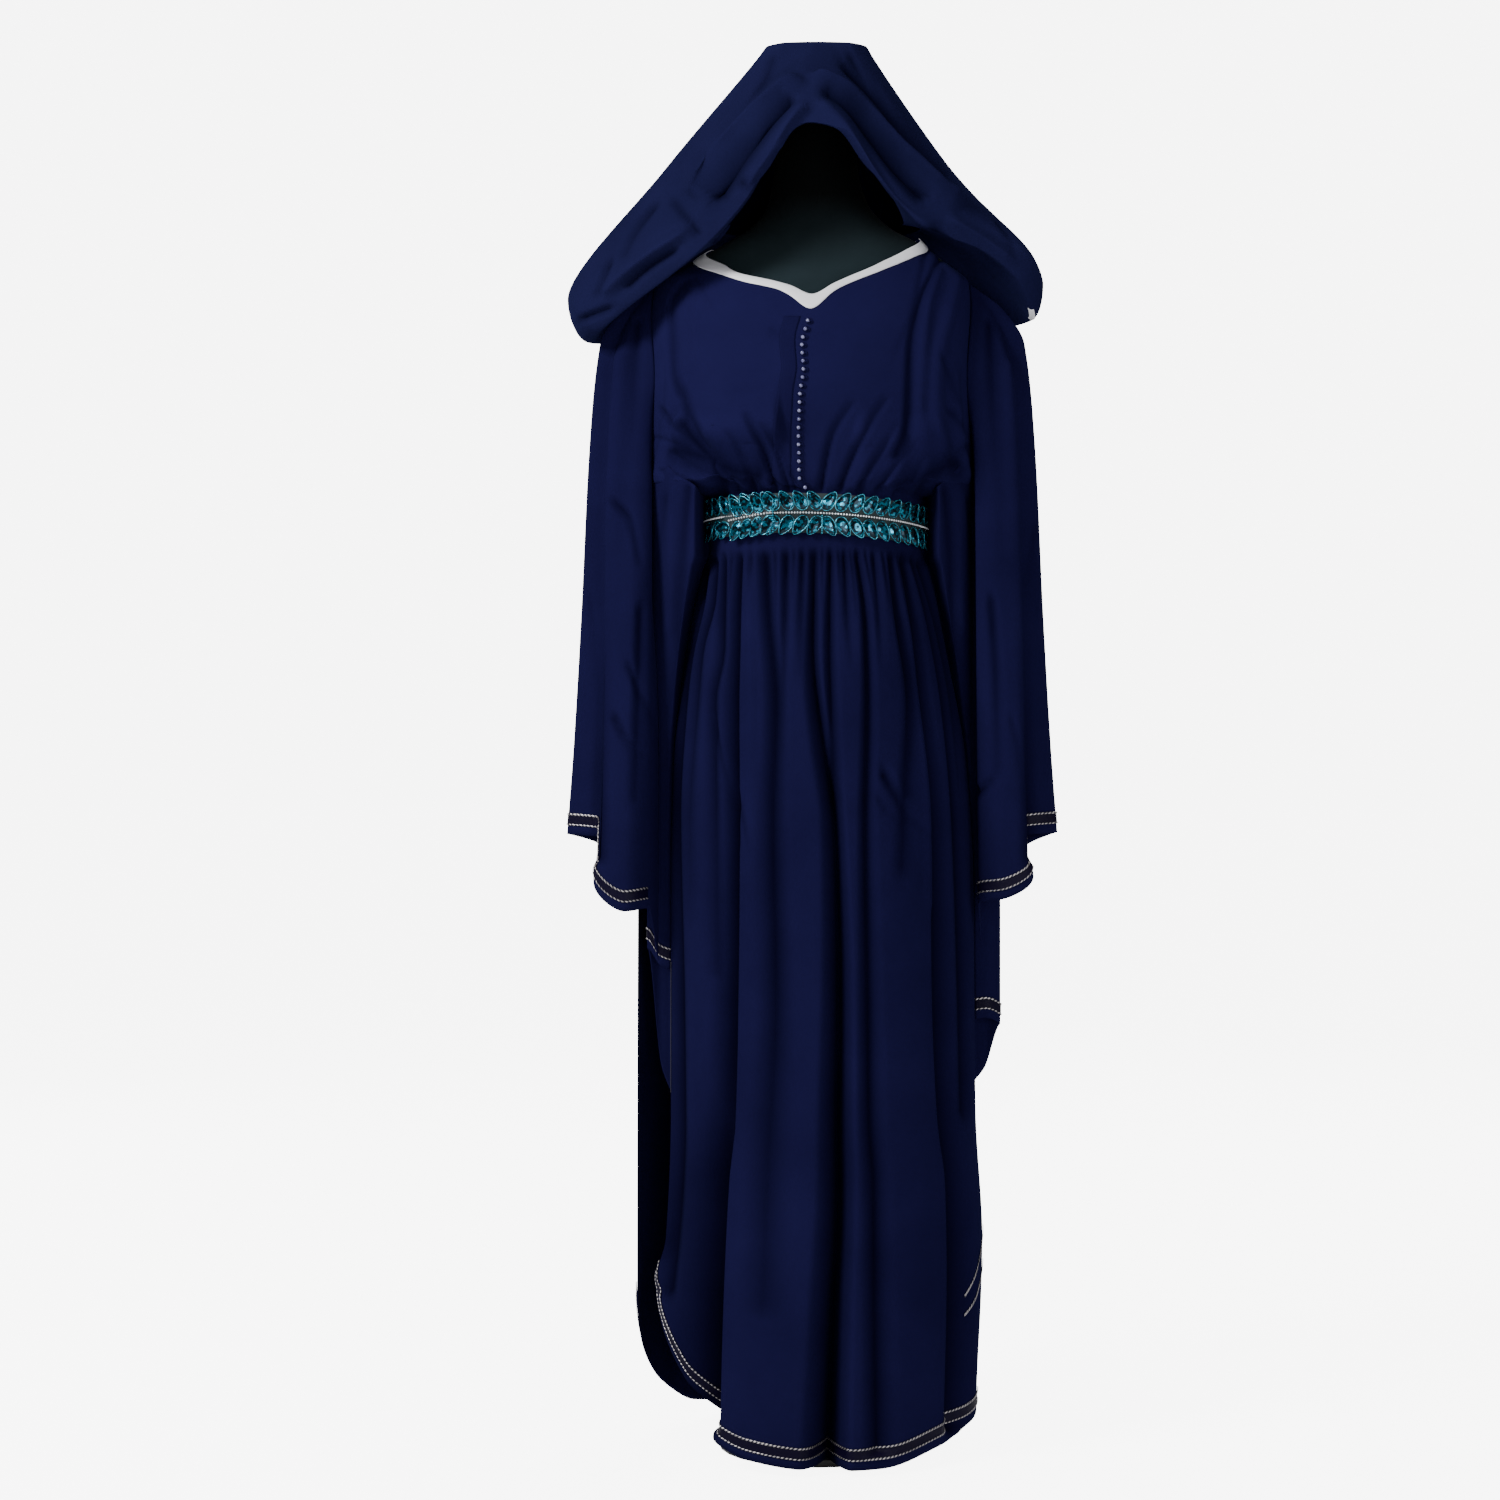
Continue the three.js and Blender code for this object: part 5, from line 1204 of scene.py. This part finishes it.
in_stones("belt_parting", spark_stone(), belt_frames(PART_AT, WAIST - 3 - 2.5 * np.arange(9), 0, BELT_BASE + 2.4),
          setting)

# Belt end. The belt closes in front at the left: its free end lies over the band, tips down a little to the left and
# ends in two loose leaves; a short upright line of small stones finishes the other edge.
TAB_FROM, TAB_TO = -118, -52
TAB_OUT = BELT_BASE + 3.4


def tab_height(way):
    """The middle line of the free end, which falls toward its tip."""
    return WAIST + 0.4 - 7 * (TAB_TO - way) / (TAB_TO - TAB_FROM)


def tab_at(u, v):
    """The free end's own band, narrowing to its tip."""
    way = TAB_FROM + (TAB_TO - TAB_FROM) * u
    tall = 17 * np.minimum(1, 0.35 + 1.6 * u)
    return belt_at(way, tab_height(way) + v * tall, TAB_OUT + 0 * u)


tab = surface("belt_end_band", tab_at, np.linspace(0, 1, 25), np.linspace(-1, 1, 7), band_cloth, thick=0.8)
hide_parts("belt_end")
spots = TAB_TO - 6 - 13.5 * np.arange(4)
tab_frames = np.concatenate([belt_frames(spots, tab_height(spots) + 14, -LEAF_LEAN, TAB_OUT + 0.6),
                             belt_frames(spots, tab_height(spots) - 14, np.pi + LEAF_LEAN, TAB_OUT + 0.6),
                             belt_frames(-119, WAIST - 13, -1.5, TAB_OUT + 0.6)])
in_stones("belt_end_stones", leaf_stone(), tab_frames, glass)
in_settings("belt_end_settings", tab_frames)
way = np.arange(TAB_FROM + 12, TAB_TO, 3.5)
in_stones("belt_end_chain", spark_stone(), belt_frames(way, tab_height(way), 0, TAB_OUT + 3.2), spark)
in_stones("belt_end_line", spark_stone(), belt_frames(TAB_TO + 1, WAIST + 6 - 2.8 * np.arange(11), 0, TAB_OUT + 1.5),
          setting)

# Dress form. A limbless torso with a neck, padded and covered in black jersey, on a steel pole with a round base; a
# flat cap ends the neck and carries the hood. The neck's jersey is drawn darker upward with painted shade, for the
# hood's shadow.
TORSO_FOOT = 905
TORSO = Table("z middle wide front back",
    (TORSO_FOOT, 0, 128, 96, 96), (960, 0, 128, 98, 100), (1020, 0, 121, 92, 90), (WAIST, 0, 117, 86, 81),
    (1150, 0, 124, 97, 87), (1240, 0, 142, 112, 93), (1310, 0, 156, 100, 95), (1360, -5, 165, 84, 86),
    (SHOULDER, -4, 166, 70, 73), (1400, 2, 155, 60, 64), (1428, 7, 115.6, 52, 54), (1446, 5, 84, 48, 48),
    (1475, 2, 60, 46, 46), (1520, 0, 50, 44, 44), (1630, 0, 48, 44, 44), (1634, 0, 60, 54, 54),
    (CAP_TOP, 0, 60, 54, 54))
JERSEY = (0.0130, 0.0225, 0.0270)
jersey = cloth_material("black jersey", JERSEY, {"Specular IOR Level": 0.05, "Sheen Weight": 0.01,
                        "Sheen Roughness": 0.6}, Pitch=1100.0, Grain=0.8, Tone=0.25, Roughness=0.72)
# Painted shade: the jersey's colour falls to a small share of itself up the neck, for the shadow under the hood.
NECK_FROM, NECK_TO, NECK_PAINTED_SHADE = 1.39, 1.48, 0.05
shade = jersey.node_tree
place = node(shade, "ShaderNodeTexCoord").outputs["Object"]
height = node(shade, "ShaderNodeSeparateXYZ", {"Vector": place}).outputs["Z"]
weave = next(n for n in shade.nodes if n.bl_idname == "ShaderNodeGroup")
put(shade, weave.inputs["Colour"], scaled(shade, JERSEY, ranged(shade, height, NECK_FROM, NECK_TO, 1.0, NECK_PAINTED_SHADE)))
TORSO_HEIGHTS = np.unique(np.concatenate([np.linspace(TORSO_FOOT, CAP_TOP, 110), TORSO["z"]]))


JERSEY_IN = 0.6


def torso_at(turn, z):
    """Closed ovals, each with its own front and back depth, seen from above; the first and last are drawn in to
    close the form."""
    z = z + 0 * turn
    inside = np.clip(z, TORSO_FOOT, CAP_TOP)
    shrink = np.where(z == inside, 1, 0.002)
    middle, wide, front, back = (TORSO(name, inside) for name in ("middle", "wide", "front", "back"))
    wide = (wide - JERSEY_IN) * shrink
    deep = (np.where(np.sin(turn) < 0, front, back) - JERSEY_IN) * shrink
    return np.stack([middle + wide * np.cos(turn), deep * np.sin(turn), inside], -1)


torso = surface("form_torso_jersey", torso_at, np.linspace(0, 2 * np.pi, 97)[:-1],
                np.concatenate([[TORSO_FOOT - 1], TORSO_HEIGHTS, [CAP_TOP + 1]]), jersey, thick=0, ring=True)
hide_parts("form_torso")
steel = clouded(plain_material("black steel", (0.02, 0.02, 0.022), {"Metallic": 0.6, "Coat Weight": 0.3}),
                40, (0.015, 0.015, 0.017), (0.03, 0.03, 0.033), (0.3, 0.42))
for name in ("form_pole", "form_base"):
    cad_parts[name].data.materials.clear()
    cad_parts[name].data.materials.append(steel)

# Floor and light. A pale floor that runs out of sight under a sky equally pale to the camera, a broad soft light
# from the upper left, a weaker one from the right, a low one in front, and two behind that lift the edges.
FLOOR, FLOOR_SEEN = (0.8, 0.8, 0.8), 6.9
floor_mesh = bpy.data.meshes.new("floor")
REACH = 40
floor_mesh.from_pydata([(x * REACH, y * REACH, 0) for x, y in ((-1, -1), (1, -1), (1, 1), (-1, 1))], [], [range(4)])
pale = plain_material("pale floor", FLOOR, {"Roughness": 0.9, "Specular IOR Level": 0.1})
seen = node(pale.node_tree, "ShaderNodeLightPath").outputs["Is Camera Ray"]
feed(pale, {"Emission Color": (1, 1, 1, 1), "Emission Strength": maths(pale.node_tree, "MULTIPLY", seen, FLOOR_SEEN)})
floor_mesh.materials.append(pale)
floor = bpy.data.objects.new("floor", floor_mesh)
bpy.context.scene.collection.objects.link(floor)
SKY_LIGHT, SKY_SEEN = 0.20, 7.0
world = bpy.data.worlds.new("sky")
world.use_nodes = True
sky = world.node_tree
seen = node(sky, "ShaderNodeLightPath").outputs["Is Camera Ray"]
sky.nodes["Background"].inputs["Color"].default_value = (1, 1, 1, 1)
put(sky, sky.nodes["Background"].inputs["Strength"], ranged(sky, seen, 0.0, 1.0, SKY_LIGHT, SKY_SEEN))
bpy.context.scene.world = world


def light(name, place, target, size, power):
    """A square area light at a place, turned toward a target."""
    data = bpy.data.lights.new(name, "AREA")
    data.shape, data.size, data.energy = "SQUARE", size, power
    lamp = bpy.data.objects.new(name, data)
    ray = np.array(target) - np.array(place)
    flat = np.hypot(ray[0], ray[1])
    lamp.location = place
    lamp.rotation_euler = (np.arctan2(flat, -ray[2]), 0, np.arctan2(ray[1], ray[0]) - np.pi / 2)
    bpy.context.scene.collection.objects.link(lamp)


light("key", (-2.9, -2.3, 3.3), (0, 0, 0.9), 1.3, 230)
light("fill", (2.0, -3.4, 1.5), (0, 0, 0.8), 2.2, 46)
light("low fill", (0.75, -3.8, 0.6), (-0.1, 0, 0.5), 1.6, 24)
light("back", (1.6, 3.0, 3.0), (0, 0, 1.0), 2.4, 100)
light("low back", (-2.6, 2.8, 1.6), (0, 0, 0.9), 2.0, 45)
